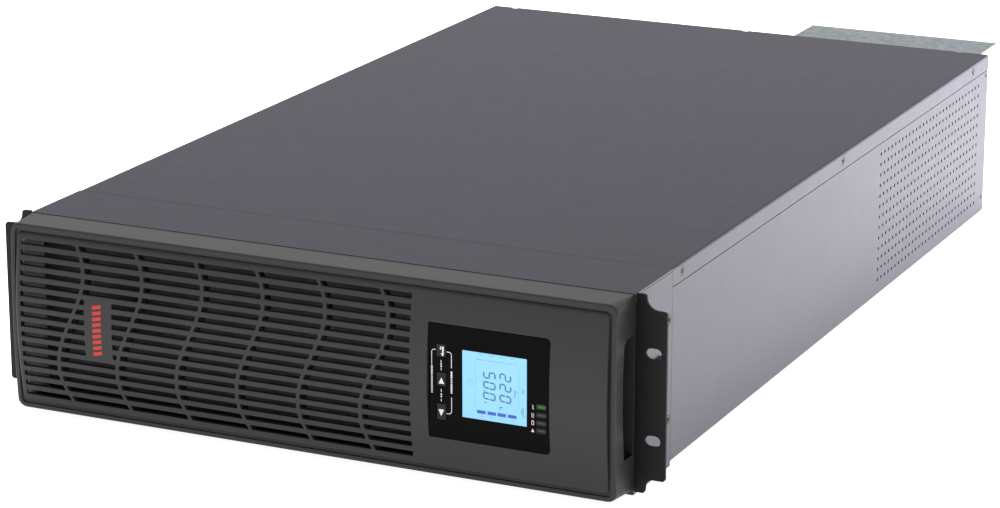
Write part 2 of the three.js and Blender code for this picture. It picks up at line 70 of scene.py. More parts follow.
# ---------------------------------------------------------------- materials
def nodes_of(name):
    m = bpy.data.materials.new(name)
    m.use_nodes = True
    nt = m.node_tree
    nt.nodes.clear()
    out = nt.nodes.new("ShaderNodeOutputMaterial")
    b = nt.nodes.new("ShaderNodeBsdfPrincipled")
    nt.links.new(b.outputs[0], out.inputs[0])
    tc = nt.nodes.new("ShaderNodeTexCoord")
    return m, nt, b, tc


def stretch(nt, tc, s):
    mp = nt.nodes.new("ShaderNodeMapping")
    mp.inputs["Scale"].default_value = s
    nt.links.new(tc.outputs["Object"], mp.inputs["Vector"])
    return mp


def noise(nt, vec, scale, detail=3.0, rough=0.5):
    n = nt.nodes.new("ShaderNodeTexNoise")
    n.inputs["Scale"].default_value = scale
    n.inputs["Detail"].default_value = detail
    n.inputs["Roughness"].default_value = rough
    nt.links.new(vec, n.inputs["Vector"])
    return n


def ramp(nt, fac, stops):
    r = nt.nodes.new("ShaderNodeValToRGB")
    el = r.color_ramp.elements
    el[0].position, el[0].color = stops[0][0], (*stops[0][1], 1)
    el[1].position, el[1].color = stops[-1][0], (*stops[-1][1], 1)
    for p, c in stops[1:-1]:
        e = el.new(p)
        e.color = (*c, 1)
    nt.links.new(fac, r.inputs[0])
    return r


def spread(c, k):
    return tuple(min(1.0, x * k) for x in c)


def rough_map(nt, b, fac, lo, hi):
    mr = nt.nodes.new("ShaderNodeMapRange")
    mr.inputs["From Min"].default_value = 0.3
    mr.inputs["From Max"].default_value = 0.7
    mr.inputs["To Min"].default_value = lo
    mr.inputs["To Max"].default_value = hi
    nt.links.new(fac, mr.inputs["Value"])
    nt.links.new(mr.outputs[0], b.inputs["Roughness"])


def bump(nt, b, height, strength, dist):
    bp = nt.nodes.new("ShaderNodeBump")
    bp.inputs["Strength"].default_value = strength
    bp.inputs["Distance"].default_value = dist
    nt.links.new(height, bp.inputs["Height"])
    nt.links.new(bp.outputs[0], b.inputs["Normal"])


def painted(name, base, rough=0.42, vary=0.05, peel=0.12, metal=0.0, spec=0.5, coat=0.0):
    """Powder-coated or painted sheet: slight tone drift and a fine orange peel."""
    m, nt, b, tc = nodes_of(name)
    v = tc.outputs["Object"]
    big = noise(nt, v, 9, 3)
    r = ramp(nt, big.outputs["Fac"], [(0.3, spread(base, 1 - vary)), (0.7, spread(base, 1 + vary))])
    nt.links.new(r.outputs[0], b.inputs["Base Color"])
    mid = noise(nt, v, 60, 4)
    rough_map(nt, b, mid.outputs["Fac"], rough - 0.012, rough + 0.012)
    fine = noise(nt, v, 1300, 2)
    bump(nt, b, fine.outputs["Fac"], peel, 0.00006)
    b.inputs["Metallic"].default_value = metal
    b.inputs["Specular IOR Level"].default_value = spec
    b.inputs["Coat Weight"].default_value = coat
    return m


def moulded(name, base, rough=0.55, vary=0.05, grain=0.25, spec=0.45, scale=2400):
    """Moulded plastic with an etched matt grain."""
    m, nt, b, tc = nodes_of(name)
    v = tc.outputs["Object"]
    big = noise(nt, v, 14, 2)
    tiny = noise(nt, v, 1500, 2)
    mix = nt.nodes.new("ShaderNodeMath")
    mix.operation = "MULTIPLY_ADD"
    mix.inputs[1].default_value = 0.45
    nt.links.new(tiny.outputs["Fac"], mix.inputs[0])
    half = nt.nodes.new("ShaderNodeMath")
    half.operation = "MULTIPLY"
    half.inputs[1].default_value = 0.55
    nt.links.new(big.outputs["Fac"], half.inputs[0])
    nt.links.new(half.outputs[0], mix.inputs[2])
    r = ramp(nt, mix.outputs[0], [(0.38, spread(base, 1 - vary)), (0.62, spread(base, 1 + vary))])
    nt.links.new(r.outputs[0], b.inputs["Base Color"])
    rough_map(nt, b, tiny.outputs["Fac"], rough - 0.04, rough + 0.05)
    fine = noise(nt, v, scale, 2)
    bump(nt, b, fine.outputs["Fac"], grain, 0.00005)
    b.inputs["Specular IOR Level"].default_value = spec
    return m


def glossy(name, base, rough=0.12, vary=0.1, spec=0.5, coat=0.0, emit=None, strength=0.0, trans=0.0):
    """Polished plastic with a trace of uneven gloss."""
    m, nt, b, tc = nodes_of(name)
    v = tc.outputs["Object"]
    big = noise(nt, v, 40, 3)
    r = ramp(nt, big.outputs["Fac"], [(0.3, spread(base, 1 - vary)), (0.7, spread(base, 1 + vary))])
    nt.links.new(r.outputs[0], b.inputs["Base Color"])
    rough_map(nt, b, big.outputs["Fac"], max(0.03, rough - 0.02), rough + 0.03)
    b.inputs["Specular IOR Level"].default_value = spec
    b.inputs["Coat Weight"].default_value = coat
    if emit:
        e = ramp(nt, big.outputs["Fac"], [(0.3, spread(emit, 0.97)), (0.7, emit)])
        nt.links.new(e.outputs[0], b.inputs["Emission Color"])
        b.inputs["Emission Strength"].default_value = strength
    return m


def plated(name, base, rough=0.3, vary=0.12, cell=260, metal=0.9):
    """Zinc or nickel plating with a soft crystalline spangle."""
    m, nt, b, tc = nodes_of(name)
    v = tc.outputs["Object"]
    vo = nt.nodes.new("ShaderNodeTexVoronoi")
    vo.inputs["Scale"].default_value = cell
    nt.links.new(v, vo.inputs["Vector"])
    sep = nt.nodes.new("ShaderNodeSeparateColor")
    nt.links.new(vo.outputs["Color"], sep.inputs[0])
    r = ramp(nt, sep.outputs[0], [(0.0, spread(base, 1 - vary)), (1.0, spread(base, 1 + vary))])
    nt.links.new(r.outputs[0], b.inputs["Base Color"])
    mr = nt.nodes.new("ShaderNodeMapRange")
    mr.inputs["To Min"].default_value = rough - 0.08
    mr.inputs["To Max"].default_value = rough + 0.1
    nt.links.new(sep.outputs[1], mr.inputs["Value"])
    nt.links.new(mr.outputs[0], b.inputs["Roughness"])
    fine = noise(nt, v, 1800, 2)
    bump(nt, b, fine.outputs["Fac"], 0.08, 0.00005)
    b.inputs["Metallic"].default_value = metal
    return m


def brushed(name, base, rough=0.32, vary=0.1, s=(300, 6, 300), metal=1.0):
    m, nt, b, tc = nodes_of(name)
    mp = stretch(nt, tc, s)
    n = noise(nt, mp.outputs[0], 4, 5, 0.6)
    r = ramp(nt, n.outputs["Fac"], [(0.3, spread(base, 1 - vary)), (0.7, spread(base, 1 + vary))])
    nt.links.new(r.outputs[0], b.inputs["Base Color"])
    rough_map(nt, b, n.outputs["Fac"], rough - 0.06, rough + 0.08)
    bump(nt, b, n.outputs["Fac"], 0.12, 0.00005)
    b.inputs["Metallic"].default_value = metal
    return m


def laminate(name, base, rough=0.45):
    """Circuit board: solder mask over a woven core with fine copper traces."""
    m, nt, b, tc = nodes_of(name)
    v = tc.outputs["Object"]
    br = nt.nodes.new("ShaderNodeTexBrick")
    br.inputs["Scale"].default_value = 90
    br.inputs["Mortar Size"].default_value = 0.035
    br.inputs["Color1"].default_value = (*base, 1)
    br.inputs["Color2"].default_value = (*spread(base, 0.85), 1)
    br.inputs["Mortar"].default_value = (*spread(base, 1.7), 1)
    nt.links.new(v, br.inputs["Vector"])
    nt.links.new(br.outputs["Color"], b.inputs["Base Color"])
    n = noise(nt, v, 900, 2)
    rough_map(nt, b, n.outputs["Fac"], rough - 0.08, rough + 0.08)
    bump(nt, b, n.outputs["Fac"], 0.1, 0.00005)
    return m


def winding(name, base):
    """Enamelled wire laid side by side."""
    m, nt, b, tc = nodes_of(name)
    w = nt.nodes.new("ShaderNodeTexWave")
    w.wave_type = "BANDS"
    w.bands_direction = "DIAGONAL"
    w.inputs["Scale"].default_value = 180
    w.inputs["Distortion"].default_value = 0.6
    nt.links.new(tc.outputs["Object"], w.inputs["Vector"])
    r = ramp(nt, w.outputs["Fac"], [(0.0, spread(base, 0.5)), (1.0, spread(base, 1.2))])
    nt.links.new(r.outputs[0], b.inputs["Base Color"])
    bump(nt, b, w.outputs["Fac"], 0.5, 0.0003)
    b.inputs["Metallic"].default_value = 0.7
    b.inputs["Roughness"].default_value = 0.32
    return m


M = {
    # sheet_top and sheet_side are one case paint in two copies: sheet_top darker as painted shade on the top,
    # sheet_side lighter as painted light on the sides
    "sheet_top": painted("sheet_top", (0.0137, 0.0131, 0.0176), 0.46, 0.012, 0.1),
    "sheet_side": painted("sheet_side", (0.0695, 0.0672, 0.0870), 0.44, 0.012, 0.1),
    "ear_black": painted("ear_black", (0.0065, 0.0065, 0.007), 0.5, 0.08, 0.3, spec=0.2),
    "bezel_plastic": moulded("bezel_plastic", (0.0268, 0.0268, 0.0264), 0.5, 0.03, 0.22, 0.33),
    "gloss_black": glossy("gloss_black", (0.0018, 0.0018, 0.002), 0.16, 0.1, 0.04),
    "housing_black": moulded("housing_black", (0.012, 0.012, 0.013), 0.5),
    "key_rubber": moulded("key_rubber", (0.008, 0.008, 0.0085), 0.45, 0.25, 0.3, spec=0.22, scale=1200),
    "lcd": glossy("lcd", (0.20, 0.47, 0.74), 0.25, 0.03, 0.3, 0, (0.36, 0.69, 1.0), 0.385),
    "led_green": glossy("led_green", (0.012, 0.075, 0.012), 0.2, 0.5, 0.3, 0, (0.05, 0.30, 0.05), 0.22),
    "led_dark": glossy("led_dark", (0.010, 0.011, 0.011), 0.2, 0.2),
    "zinc": plated("zinc", (0.176, 0.193, 0.203), 0.42, 0.14, 240, 0.75),
    "screw_steel": plated("screw_steel", (0.10, 0.10, 0.105), 0.35, 0.2, 1500, 0.85),
    "port_metal": plated("port_metal", (0.52, 0.52, 0.53), 0.26, 0.1, 1200, 1.0),
    "guard_wire": plated("guard_wire", (0.58, 0.58, 0.60), 0.24, 0.08, 1400, 1.0),
    "black_plastic": moulded("black_plastic", (0.016, 0.016, 0.017), 0.45),
    "fan_black": moulded("fan_black", (0.012, 0.012, 0.013), 0.5),
    "door_black": painted("door_black", (0.012, 0.012, 0.013), 0.5, 0.08, 0.2),
    "board_green": laminate("board_green", (0.018, 0.10, 0.05)),
    "battery_wrap": moulded("battery_wrap", (0.035, 0.04, 0.048), 0.5),
    "heat_sink": brushed("heat_sink", (0.52, 0.53, 0.54), 0.36),
    "capacitor": glossy("capacitor", (0.018, 0.032, 0.085), 0.25),
    "choke_wire": winding("choke_wire", (0.40, 0.17, 0.06)),
}
X = {
    # white and pink print, each with a small emission: a painted glow on the ink
    "ink_white_glow": glossy("ink_white_glow", (0.74, 0.74, 0.73), 0.4, 0.05, 0.3, 0, (0.8, 0.8, 0.8), 0.12),
    "ink_pink_glow": glossy("ink_pink_glow", (0.72, 0.56, 0.50), 0.4, 0.05, 0.3, 0, (0.8, 0.62, 0.56), 0.10),
    "ink_grey": glossy("ink_grey", (0.055, 0.058, 0.058), 0.4, 0.1, 0.3),
    "ink_red": glossy("ink_red", (0.56, 0.020, 0.014), 0.35, 0.06, 0.4),
    "lcd_dark": glossy("lcd_dark", (0.075, 0.19, 0.30), 0.3, 0.05, 0.3),
    "lcd_faint": glossy("lcd_faint", (0.17, 0.40, 0.58), 0.3, 0.05, 0.3, 0, (0.2, 0.45, 0.65), 0.2),
    "lcd_blue": glossy("lcd_blue", (0.045, 0.11, 0.50), 0.3, 0.05, 0.3, 0, (0.05, 0.13, 0.62), 0.12),
    "inner_grey": moulded("inner_grey", (0.42, 0.42, 0.41), 0.6),
    "inner_black": moulded("inner_black", (0.010, 0.010, 0.010), 0.6),
    "brass_pin": plated("brass_pin", (0.62, 0.45, 0.16), 0.28, 0.08, 1500, 1.0),
    "bright_screw": plated("bright_screw", (0.45, 0.45, 0.47), 0.3, 0.1, 1500, 1.0),
    "terminal_metal": plated("terminal_metal", (0.55, 0.54, 0.50), 0.32, 0.1, 900, 1.0),
    "label_grey": moulded("label_grey", (0.30, 0.31, 0.32), 0.5),
}


# ---------------------------------------------------------------- mesh tools
class Geo:
    """Vertices and faces in drawing millimetres, gathered into one piece."""

    def __init__(self):
        self.v, self.f = [], []

    def add(self, verts, faces):
        n = len(self.v)
        self.v += [tuple(p) for p in verts]
        self.f += [[i + n for i in f] for f in faces]
        return self

    def mirrored(self):
        g = Geo()
        g.v = [(-x, y, z) for x, y, z in self.v]
        g.f = [f[::-1] for f in self.f]
        return g

    def moved(self, dx=0, dy=0, dz=0):
        g = Geo()
        g.v = [(x + dx, y + dy, z + dz) for x, y, z in self.v]
        g.f = [list(f) for f in self.f]
        return g

    def join(self, *others):
        for o in others:
            self.add(o.v, o.f)
        return self


def tidy(ob, angle, weighted=True):
    me = ob.data
    for p in me.polygons:
        p.use_smooth = True
    me.set_sharp_from_angle(angle=math.radians(angle))
    if weighted:
        md = ob.modifiers.new("wn", "WEIGHTED_NORMAL")
        md.keep_sharp = True
        md.weight = 80
        bake(ob)


def bake(ob):
    bpy.context.view_layer.update()
    dg = bpy.context.evaluated_depsgraph_get()
    me = bpy.data.meshes.new_from_object(ob.evaluated_get(dg), preserve_all_data_layers=True, depsgraph=dg)
    ob.modifiers.clear()
    ob.data = me


def place(name, geo, mat, body, nodes=(), smooth=None, keep_doubles=False):
    me = bpy.data.meshes.new(name)
    me.from_pydata([P(*v) for v in geo.v], [], geo.f)
    me.validate()
    if not keep_doubles:
        bm = bmesh.new()
        bm.from_mesh(me)
        bmesh.ops.remove_doubles(bm, verts=bm.verts, dist=2e-7)
        bm.to_mesh(me)
        bm.free()
    me.materials.append(mat)
    ob = bpy.data.objects.new(name, me)
    SC.collection.objects.link(ob)
    if smooth:
        tidy(ob, smooth)
    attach(ob, body)
    if nodes:
        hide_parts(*nodes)
    return ob


def boolean(ob, cutters, op="DIFFERENCE"):
    """Cuts or joins ob with Geo solids, before it rides on anything."""
    made = []
    for g in cutters:
        me = bpy.data.meshes.new("cutter")
        me.from_pydata([P(*v) for v in g.v], [], g.f)
        bm = bmesh.new()
        bm.from_mesh(me)
        bmesh.ops.remove_doubles(bm, verts=bm.verts, dist=2e-7)
        bmesh.ops.recalc_face_normals(bm, faces=bm.faces)
        bm.to_mesh(me)
        bm.free()
        c = bpy.data.objects.new("cutter", me)
        SC.collection.objects.link(c)
        made.append(c)
        md = ob.modifiers.new("b", "BOOLEAN")
        md.operation = op
        md.solver = "EXACT"
        md.object = c
    bake(ob)
    for c in made:
        bpy.data.objects.remove(c)


def raw(name, geo, mat):
    me = bpy.data.meshes.new(name)
    me.from_pydata([P(*v) for v in geo.v], [], geo.f)
    bm = bmesh.new()
    bm.from_mesh(me)
    bmesh.ops.remove_doubles(bm, verts=bm.verts, dist=2e-7)
    bmesh.ops.recalc_face_normals(bm, faces=bm.faces)
    bm.to_mesh(me)
    bm.free()
    me.materials.append(mat)
    ob = bpy.data.objects.new(name, me)
    SC.collection.objects.link(ob)
    return ob


def settle(ob, body, nodes=(), smooth=None):
    if smooth:
        tidy(ob, smooth)
    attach(ob, body)
    if nodes:
        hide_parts(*nodes)
    return ob


def from_bm(bm):
    bm.verts.index_update()
    g = Geo().add([v.co[:] for v in bm.verts], [[v.index for v in f.verts] for f in bm.faces])
    bm.free()
    return g


def rbox(x0, x1, y0, y1, z0, z1, r=0.4, seg=2):
    """A block with rounded edges."""
    bm = bmesh.new()
    bmesh.ops.create_cube(bm, size=1)
    for v in bm.verts:
        v.co = Vector(((x0 + x1) / 2 + v.co.x * (x1 - x0), (y0 + y1) / 2 + v.co.y * (y1 - y0), (z0 + z1) / 2 + v.co.z * (z1 - z0)))
    r = min(r, 0.45 * min(x1 - x0, y1 - y0, z1 - z0))
    if r > 0:
        bmesh.ops.bevel(bm, geom=bm.edges[:], offset=r, segments=seg, profile=0.5, affect="EDGES")
    return from_bm(bm)


def prism(points, a, b, axis="x"):
    """A closed outline drawn out along an axis. x: (y, z); y: (x, z); z: (x, y)."""
    n = len(points)

    def at(p, t):
        return {"x": (t, p[0], p[1]), "y": (p[0], t, p[1]), "z": (p[0], p[1], t)}[axis]

    v = [at(p, a) for p in points] + [at(p, b) for p in points]
    f = [list(range(n))[::-1], list(range(n, 2 * n))]
    f += [[i, (i + 1) % n, n + (i + 1) % n, n + i] for i in range(n)]
    area = sum(points[i][0] * points[(i + 1) % n][1] - points[(i + 1) % n][0] * points[i][1] for i in range(n))
    flip = (area < 0) != (axis == "y")
    if flip:
        f = [q[::-1] for q in f]
    return Geo().add(v, f)


def ring(cx, cy, r, n, start=0.0):
    return [(cx + r * math.cos(start + 2 * math.pi * i / n), cy + r * math.sin(start + 2 * math.pi * i / n)) for i in range(n)]


def lathe(profile, axis, c, n=24):
    """profile: (radius, along the axis); closed at both ends where the radius is 0."""
    v, f = [], []

    def at(r, h, t):
        a, b = r * math.cos(t), r * math.sin(t)
        return {"x": (c[0] + h, c[1] + a, c[2] + b), "y": (c[0] + b, c[1] + h, c[2] + a), "z": (c[0] + a, c[1] + b, c[2] + h)}[axis]

    rows = []
    for r, h in profile:
        if r < 1e-6:
            v.append(at(0, h, 0))
            rows.append([len(v) - 1] * n)
        else:
            rows.append(list(range(len(v), len(v) + n)))
            v += [at(r, h, 2 * math.pi * i / n) for i in range(n)]
    for a, b in zip(rows, rows[1:]):
        for i in range(n):
            j = (i + 1) % n
            q = [a[i], a[j], b[j], b[i]]
            q = [k for m, k in enumerate(q) if k not in q[:m]]
            if len(q) > 2:
                f.append(q)
    return Geo().add(v, f)


def tube(path, r, n=10, closed=False, caps=True):
    pts = [Vector(p) for p in path]
    m = len(pts)
    v, f = [], []
    up = None
    for i, p in enumerate(pts):
        a = pts[i - 1] if (closed or i) else pts[i]
        b = pts[(i + 1) % m] if (closed or i < m - 1) else pts[i]
        t = (b - a).normalized()
        if up is None:
            up = t.orthogonal().normalized()
        up = (up - t * up.dot(t)).normalized()
        s = t.cross(up)
        v += [tuple(p + up * (r * math.cos(2 * math.pi * k / n)) + s * (r * math.sin(2 * math.pi * k / n))) for k in range(n)]
    for i in range(m if closed else m - 1):
        a, b = i * n, ((i + 1) % m) * n
        for k in range(n):
            f.append([a + k, a + (k + 1) % n, b + (k + 1) % n, b + k])
    if not closed and caps:
        f.append(list(range(n))[::-1])
        f.append([(m - 1) * n + k for k in range(n)])
    return Geo().add(v, f)


def area2(l):
    return sum(l[i][0] * l[(i + 1) % len(l)][1] - l[(i + 1) % len(l)][0] * l[i][1] for i in range(len(l)))


def inset(loop, d):
    """Moves a loop d to the left of its direction of travel."""
    n, out = len(loop), []
    for i in range(n):
        a, b, c = Vector(loop[i - 1]), Vector(loop[i]), Vector(loop[(i + 1) % n])
        e1, e2 = (b - a).normalized(), (c - b).normalized()
        n1, n2 = Vector((-e1.y, e1.x)), Vector((-e2.y, e2.x))
        m = n1 + n2
        m = n1 if m.length < 1e-6 else m.normalized()
        m = m / max(0.4, m.dot(n1))
        out.append((b.x + m.x * d, b.y + m.y * d))
    return out


def inside(p, loop):
    x, y = p
    c = False
    for i in range(len(loop)):
        (x0, y0), (x1, y1) = loop[i - 1], loop[i]
        if (y0 > y) != (y1 > y) and x < (x1 - x0) * (y - y0) / (y1 - y0) + x0:
            c = not c
    return c


def plate(outer, holes, t, r=0.3, seg=2, back=0.0, ro=None):
    """A sheet with holes and rounded front edges, as (u, v, depth)."""
    loops = [outer if area2(outer) > 0 else outer[::-1]] + [h[::-1] if area2(h) > 0 else h for h in holes]
    verts, faces = [], []
    rings = []
    for num, lp in enumerate(loops):
        rs = []
        q = ro if ro and num == 0 else r
        sg = seg * 2 if ro and num == 0 else seg
        for k in range(sg + 1):
            th = k / sg * math.pi / 2
            ins, dep = q * (1 - math.sin(th)), q * (1 - math.cos(th))
            pts = inset(lp, ins) if ins > 1e-6 else lp
            rs.append((pts, dep))
        rs.append((lp, t - back))
        if back:
            rs.append((inset(lp, back), t))
        rings.append(rs)
    flat, edges, base = [], [], []
    for rs in rings:
        b0 = len(flat)
        flat += rs[0][0]
        n = len(rs[0][0])
        edges += [(b0 + i, b0 + (i + 1) % n) for i in range(n)]
        base.append(b0)
    vo, eo, fo, ov, oe, of_ = geometry.delaunay_2d_cdt([Vector(p) for p in flat], edges, [], 1, 1e-7)
    back_map = {}
    for i, src in enumerate(ov):
        for s in src:
            back_map[i] = s
    boxes = [(min(p[0] for p in l), max(p[0] for p in l), min(p[1] for p in l), max(p[1] for p in l)) for l in loops]
    tris = []
    for tri in fo:
        if any(i not in back_map for i in tri):
            continue
        c = sum((Vector(vo[i]) for i in tri), Vector((0, 0))) / len(tri)
        if not inside(c, rings[0][0][0]):
            continue
        hit = False
        for k in range(1, len(loops)):
            bx = boxes[k]
            if bx[0] - 1 < c.x < bx[1] + 1 and bx[2] - 1 < c.y < bx[3] + 1 and inside(c, rings[k][0][0]):
                hit = True
                break
        if not hit:
            tris.append([back_map[i] for i in tri])
    # index of each ring's first vertex
    index = []
    for rs in rings:
        idx = []
        for pts, dep in rs:
            idx.append(len(verts))
            verts += [(p[0], p[1], dep) for p in pts]
        index.append(idx)
    where = []
    for k, rs in enumerate(rings):
        where += [(k, i) for i in range(len(rs[0][0]))]
    for tri in tris:
        f = [index[where[s][0]][0] + where[s][1] for s in tri]
        faces.append(f)
        b = [index[where[s][0]][-1] + where[s][1] for s in tri]
        faces.append(b[::-1])
    for k, rs in enumerate(rings):
        n = len(rs[0][0])
        for a, b in zip(index[k], index[k][1:]):
            for i in range(n):
                j = (i + 1) % n
                faces.append([a + j, a + i, b + i, b + j])
    return verts, faces


def sliced(verts, faces, levels, axis=1):
    bm = bmesh.new()
    vs = [bm.verts.new(v) for v in verts]
    for f in faces:
        try:
            bm.faces.new([vs[i] for i in f])
        except ValueError:
            pass
    no = [0, 0, 0]
    no[axis] = 1
    for z in levels:
        co = [0, 0, 0]
        co[axis] = z
        bmesh.ops.bisect_plane(bm, geom=bm.verts[:] + bm.edges[:] + bm.faces[:], dist=1e-5, plane_co=co, plane_no=no)
    bm.verts.index_update()
    out = [v.co[:] for v in bm.verts], [[v.index for v in f.verts] for f in bm.faces]
    bm.free()
    return out


def on_front(vf, y):
    """Maps a plate onto a face that looks to -Y: u is x, v is z, depth goes back."""
    verts, faces = vf
    fy = y if callable(y) else (lambda x, z: y)
    return Geo().add([(u, fy(u, v) + d, v) for u, v, d in verts], faces)


def arc(cx, cy, r, a0, a1, n):
    return [(cx + r * math.cos(math.radians(a0 + (a1 - a0) * i / n)), cy + r * math.sin(math.radians(a0 + (a1 - a0) * i / n))) for i in range(n + 1)]


def rrect(x0, x1, z0, z1, r, n=4, nz=0, nx=0):
    """A rounded rectangle, anticlockwise; r is one radius, or four from bottom right on round."""
    rs = list(r) if isinstance(r, (tuple, list)) else [r] * 4
    out = []
    corners = [(x1 - rs[0], z0 + rs[0], rs[0], -90), (x1 - rs[1], z1 - rs[1], rs[1], 0), (x0 + rs[2], z1 - rs[2], rs[2], 90), (x0 + rs[3], z0 + rs[3], rs[3], 180)]
    for i, (cx, cz, q, a) in enumerate(corners):
        out += arc(cx, cz, q, a, a + 90, n)
        m = nz if i in (0, 2) else nx
        nx_, nz_ = corners[(i + 1) % 4][:2]
        if m:
            p = out[-1]
            c = corners[(i + 1) % 4]
            e = (c[0] + c[2] * math.cos(math.radians(c[3])), c[1] + c[2] * math.sin(math.radians(c[3])))
            out += [(p[0] + (e[0] - p[0]) * k / (m + 1), p[1] + (e[1] - p[1]) * k / (m + 1)) for k in range(1, m + 1)]
    return out


def refined(name, node, width=0.4, seg=2, body=None, smooth=40, cuts=()):
    """A finer copy of a CAD node, with its edges rounded, that stands for it."""
    src = N[node]
    me = src.data.copy()
    me.name = name
    me.materials.clear()
    bm = bmesh.new()
    bm.from_mesh(me)
    bmesh.ops.remove_doubles(bm, verts=bm.verts, dist=2e-6)
    bmesh.ops.dissolve_limit(bm, angle_limit=math.radians(1.5), verts=bm.verts, edges=bm.edges)
    bm.to_mesh(me)
    bm.free()
    for a in list(me.attributes):
        if a.name in ("custom_normal", "sharp_face", "sharp_edge"):
            me.attributes.remove(a)
    ob = bpy.data.objects.new(name, me)
    SC.collection.objects.link(ob)
    if cuts:
        boolean(ob, cuts)
    md = ob.modifiers.new("bevel", "BEVEL")
    md.width = width * MM
    md.segments = seg
    md.limit_method = "ANGLE"
    md.angle_limit = math.radians(35)
    md.use_clamp_overlap = True
    bake(ob)
    slot = next((s["material_slot"] for s in frame["record"]["subparts"] if s["node"] == node), None)
    ob.data.materials.clear()
    ob.data.materials.append(M[slot])
    return settle(ob, body or src["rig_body"], [node], smooth)


# ---------------------------------------------------------------- dimensions, as in the CAD
HALF_W, DEPTH, HEIGHT, SHEET, SEAM_Z = 220, 724, 130, 1.5, 118
MID_Z = 65
B_HALF, B_Z0, B_Z1 = 219.4, 0.8, 129.6
F_HALF, F_Z0, F_Z1 = 214.6, 5.8, 124.6
BADGE = (-160.7, -139.7, 45.1, 87.3)
PANEL = (91.8, 176.2, 27.6, 103.4)
PANEL_Y = -29.8
LCD = (115.1, 159.9, 43.5, 88.0)
KEYS = {"key_enter": (97.3, 104.0, 81.2, 90.1), "key_up": (97.3, 104.0, 61.9, 71.3), "key_down": (97.3, 104.0, 39.5, 50.6)}
LED_X, LED_Z, LED_H = (167.1, 172.6), (58.0, 52.6, 47.4, 42.3), 2.2
SHIFT = dict(dx=-1.0, dz=-1.1)   # of everything printed on the panel
RIB_X = (-162, -116.9, -71.8, -26.7, 18.4, 63.5)
RIB_CURVE = [(123, -7.8), (116, -3.9), (109, -1), (101, 0), (94, -0.2), (84, -3), (73, -7.8), (62, -13), (53, -17), (44, -19.6), (34, -20.4), (26, -19.3), (18, -16), (8, -10.4)]


def rim_y(z):
    return -26 - 2.8 * max(0.0, 1 - ((z - MID_Z) / 64) ** 2)


def field_y(z):
    return -25.88 - 6.5 * max(0.0, 1 - ((z - MID_Z) / 62) ** 2)


def rib_at(z):
    """Catmull-Rom through the rib's centre line."""
    c = RIB_CURVE
    if z >= c[0][0]:
        return c[0][1]
    for i in range(len(c) - 1):
        if c[i][0] >= z >= c[i + 1][0]:
            p0, p1, p2, p3 = c[max(0, i - 1)], c[i], c[i + 1], c[min(len(c) - 1, i + 2)]
            t = (z - p1[0]) / (p2[0] - p1[0])
            m1 = (p2[1] - p0[1]) / (p2[0] - p0[0]) * (p2[0] - p1[0])
            m2 = (p3[1] - p1[1]) / (p3[0] - p1[0]) * (p2[0] - p1[0])
            return (2 * t ** 3 - 3 * t ** 2 + 1) * p1[1] + (t ** 3 - 2 * t ** 2 + t) * m1 + (-2 * t ** 3 + 3 * t ** 2) * p2[1] + (t ** 3 - t ** 2) * m2
    return c[-1][1]


# ---------------------------------------------------------------- bezel
def bezel_shell():
    def loop(ix, iz, y, corner=6.5):
        r = max(0.02, corner - min(ix, iz))
        pts = rrect(-B_HALF + ix, B_HALF - ix, B_Z0 + iz, B_Z1 - iz, r, 6, 15, 0)
        return [(x, y(z) if callable(y) else y, z) for x, z in pts]

    R = 1.3
    stack = [loop(0, 0, -0.12, 1.2), loop(0, 0, -1.2, 1.3), loop(0, 0, lambda z: rim_y(z) + R, 6.2)]
    for k in range(1, 5):
        th = k / 4 * math.pi / 2
        i = R * (1 - math.cos(th))
        stack.append(loop(i, i, lambda z, th=th: rim_y(z) + R * (1 - math.sin(th))))
    # a narrow groove runs round the raised field, which stands on a collar
    stack.append(loop(2.9, 2.9, rim_y))
    stack.append(loop(3.3, 3.3, lambda z: rim_y(z) + 0.12))
    stack.append(loop(3.5, 3.5, lambda z: rim_y(z) + 0.4))
    stack.append(loop(3.6, 3.6, lambda z: rim_y(z) + 1.3))
    stack.append(loop(4.95, 5.15, lambda z: rim_y(z) + 1.4, 8.6))
    stack.append(loop(4.98, 5.18, lambda z: field_y(z) + 1.6, 8.6))
    stack.append(loop(6.4, 6.8, lambda z: field_y(z) + 1.6, 9.6))
    stack.append(loop(6.5, 6.9, lambda z: rim_y(z) + 3.4))
    stack.append(loop(2.6, 2.6, lambda z: rim_y(z) + 3.4))
    stack.append(loop(2.6, 2.6, -0.12, 3.4))
    n = len(stack[0])
    v = [p for s in stack for p in s]
    f = []
    m = len(stack)
    for a in range(m):
        b = (a + 1) % m
        for i in range(n):
            j = (i + 1) % n
            f.append([a * n + i, a * n + j, b * n + j, b * n + i])
    ob = raw("bezel_shell", Geo().add(v, f), M["bezel_plastic"])

    def pocket(g, x0, x1):
        return prism([(1, 25 - g), (-14.2 - g, 25 - g), (-16.2 - g, 45), (-17 - g, 62), (-16.8 - g, 84), (-15.4 - g, 100 + g * 0.4), (-11.5 - g * 0.4, 103.6 + g), (1, 103.6 + g)], x0, x1, "x")

    cut_r = pocket(0, 212.4, 222)
    boolean(ob, [cut_r, cut_r.mirrored()])
    settle(ob, "bezel", ["front_bezel"], 38)
    # cups behind the two grips
    for side in (1, -1):
        g = pocket(1.8, 210.6, 218.2)
        c = pocket(0, 212.4, 222)
        if side < 0:
            g, c = g.mirrored(), c.mirrored()
        cup = raw("grip_cup_" + ("right" if side > 0 else "left"), g, M["bezel_plastic"])
        trim = prism([(-0.3, 0), (6, 0), (6, 130), (-0.3, 130)], -230, 230, "x")
        boolean(cup, [c, trim])
        settle(cup, "bezel", (), 38)


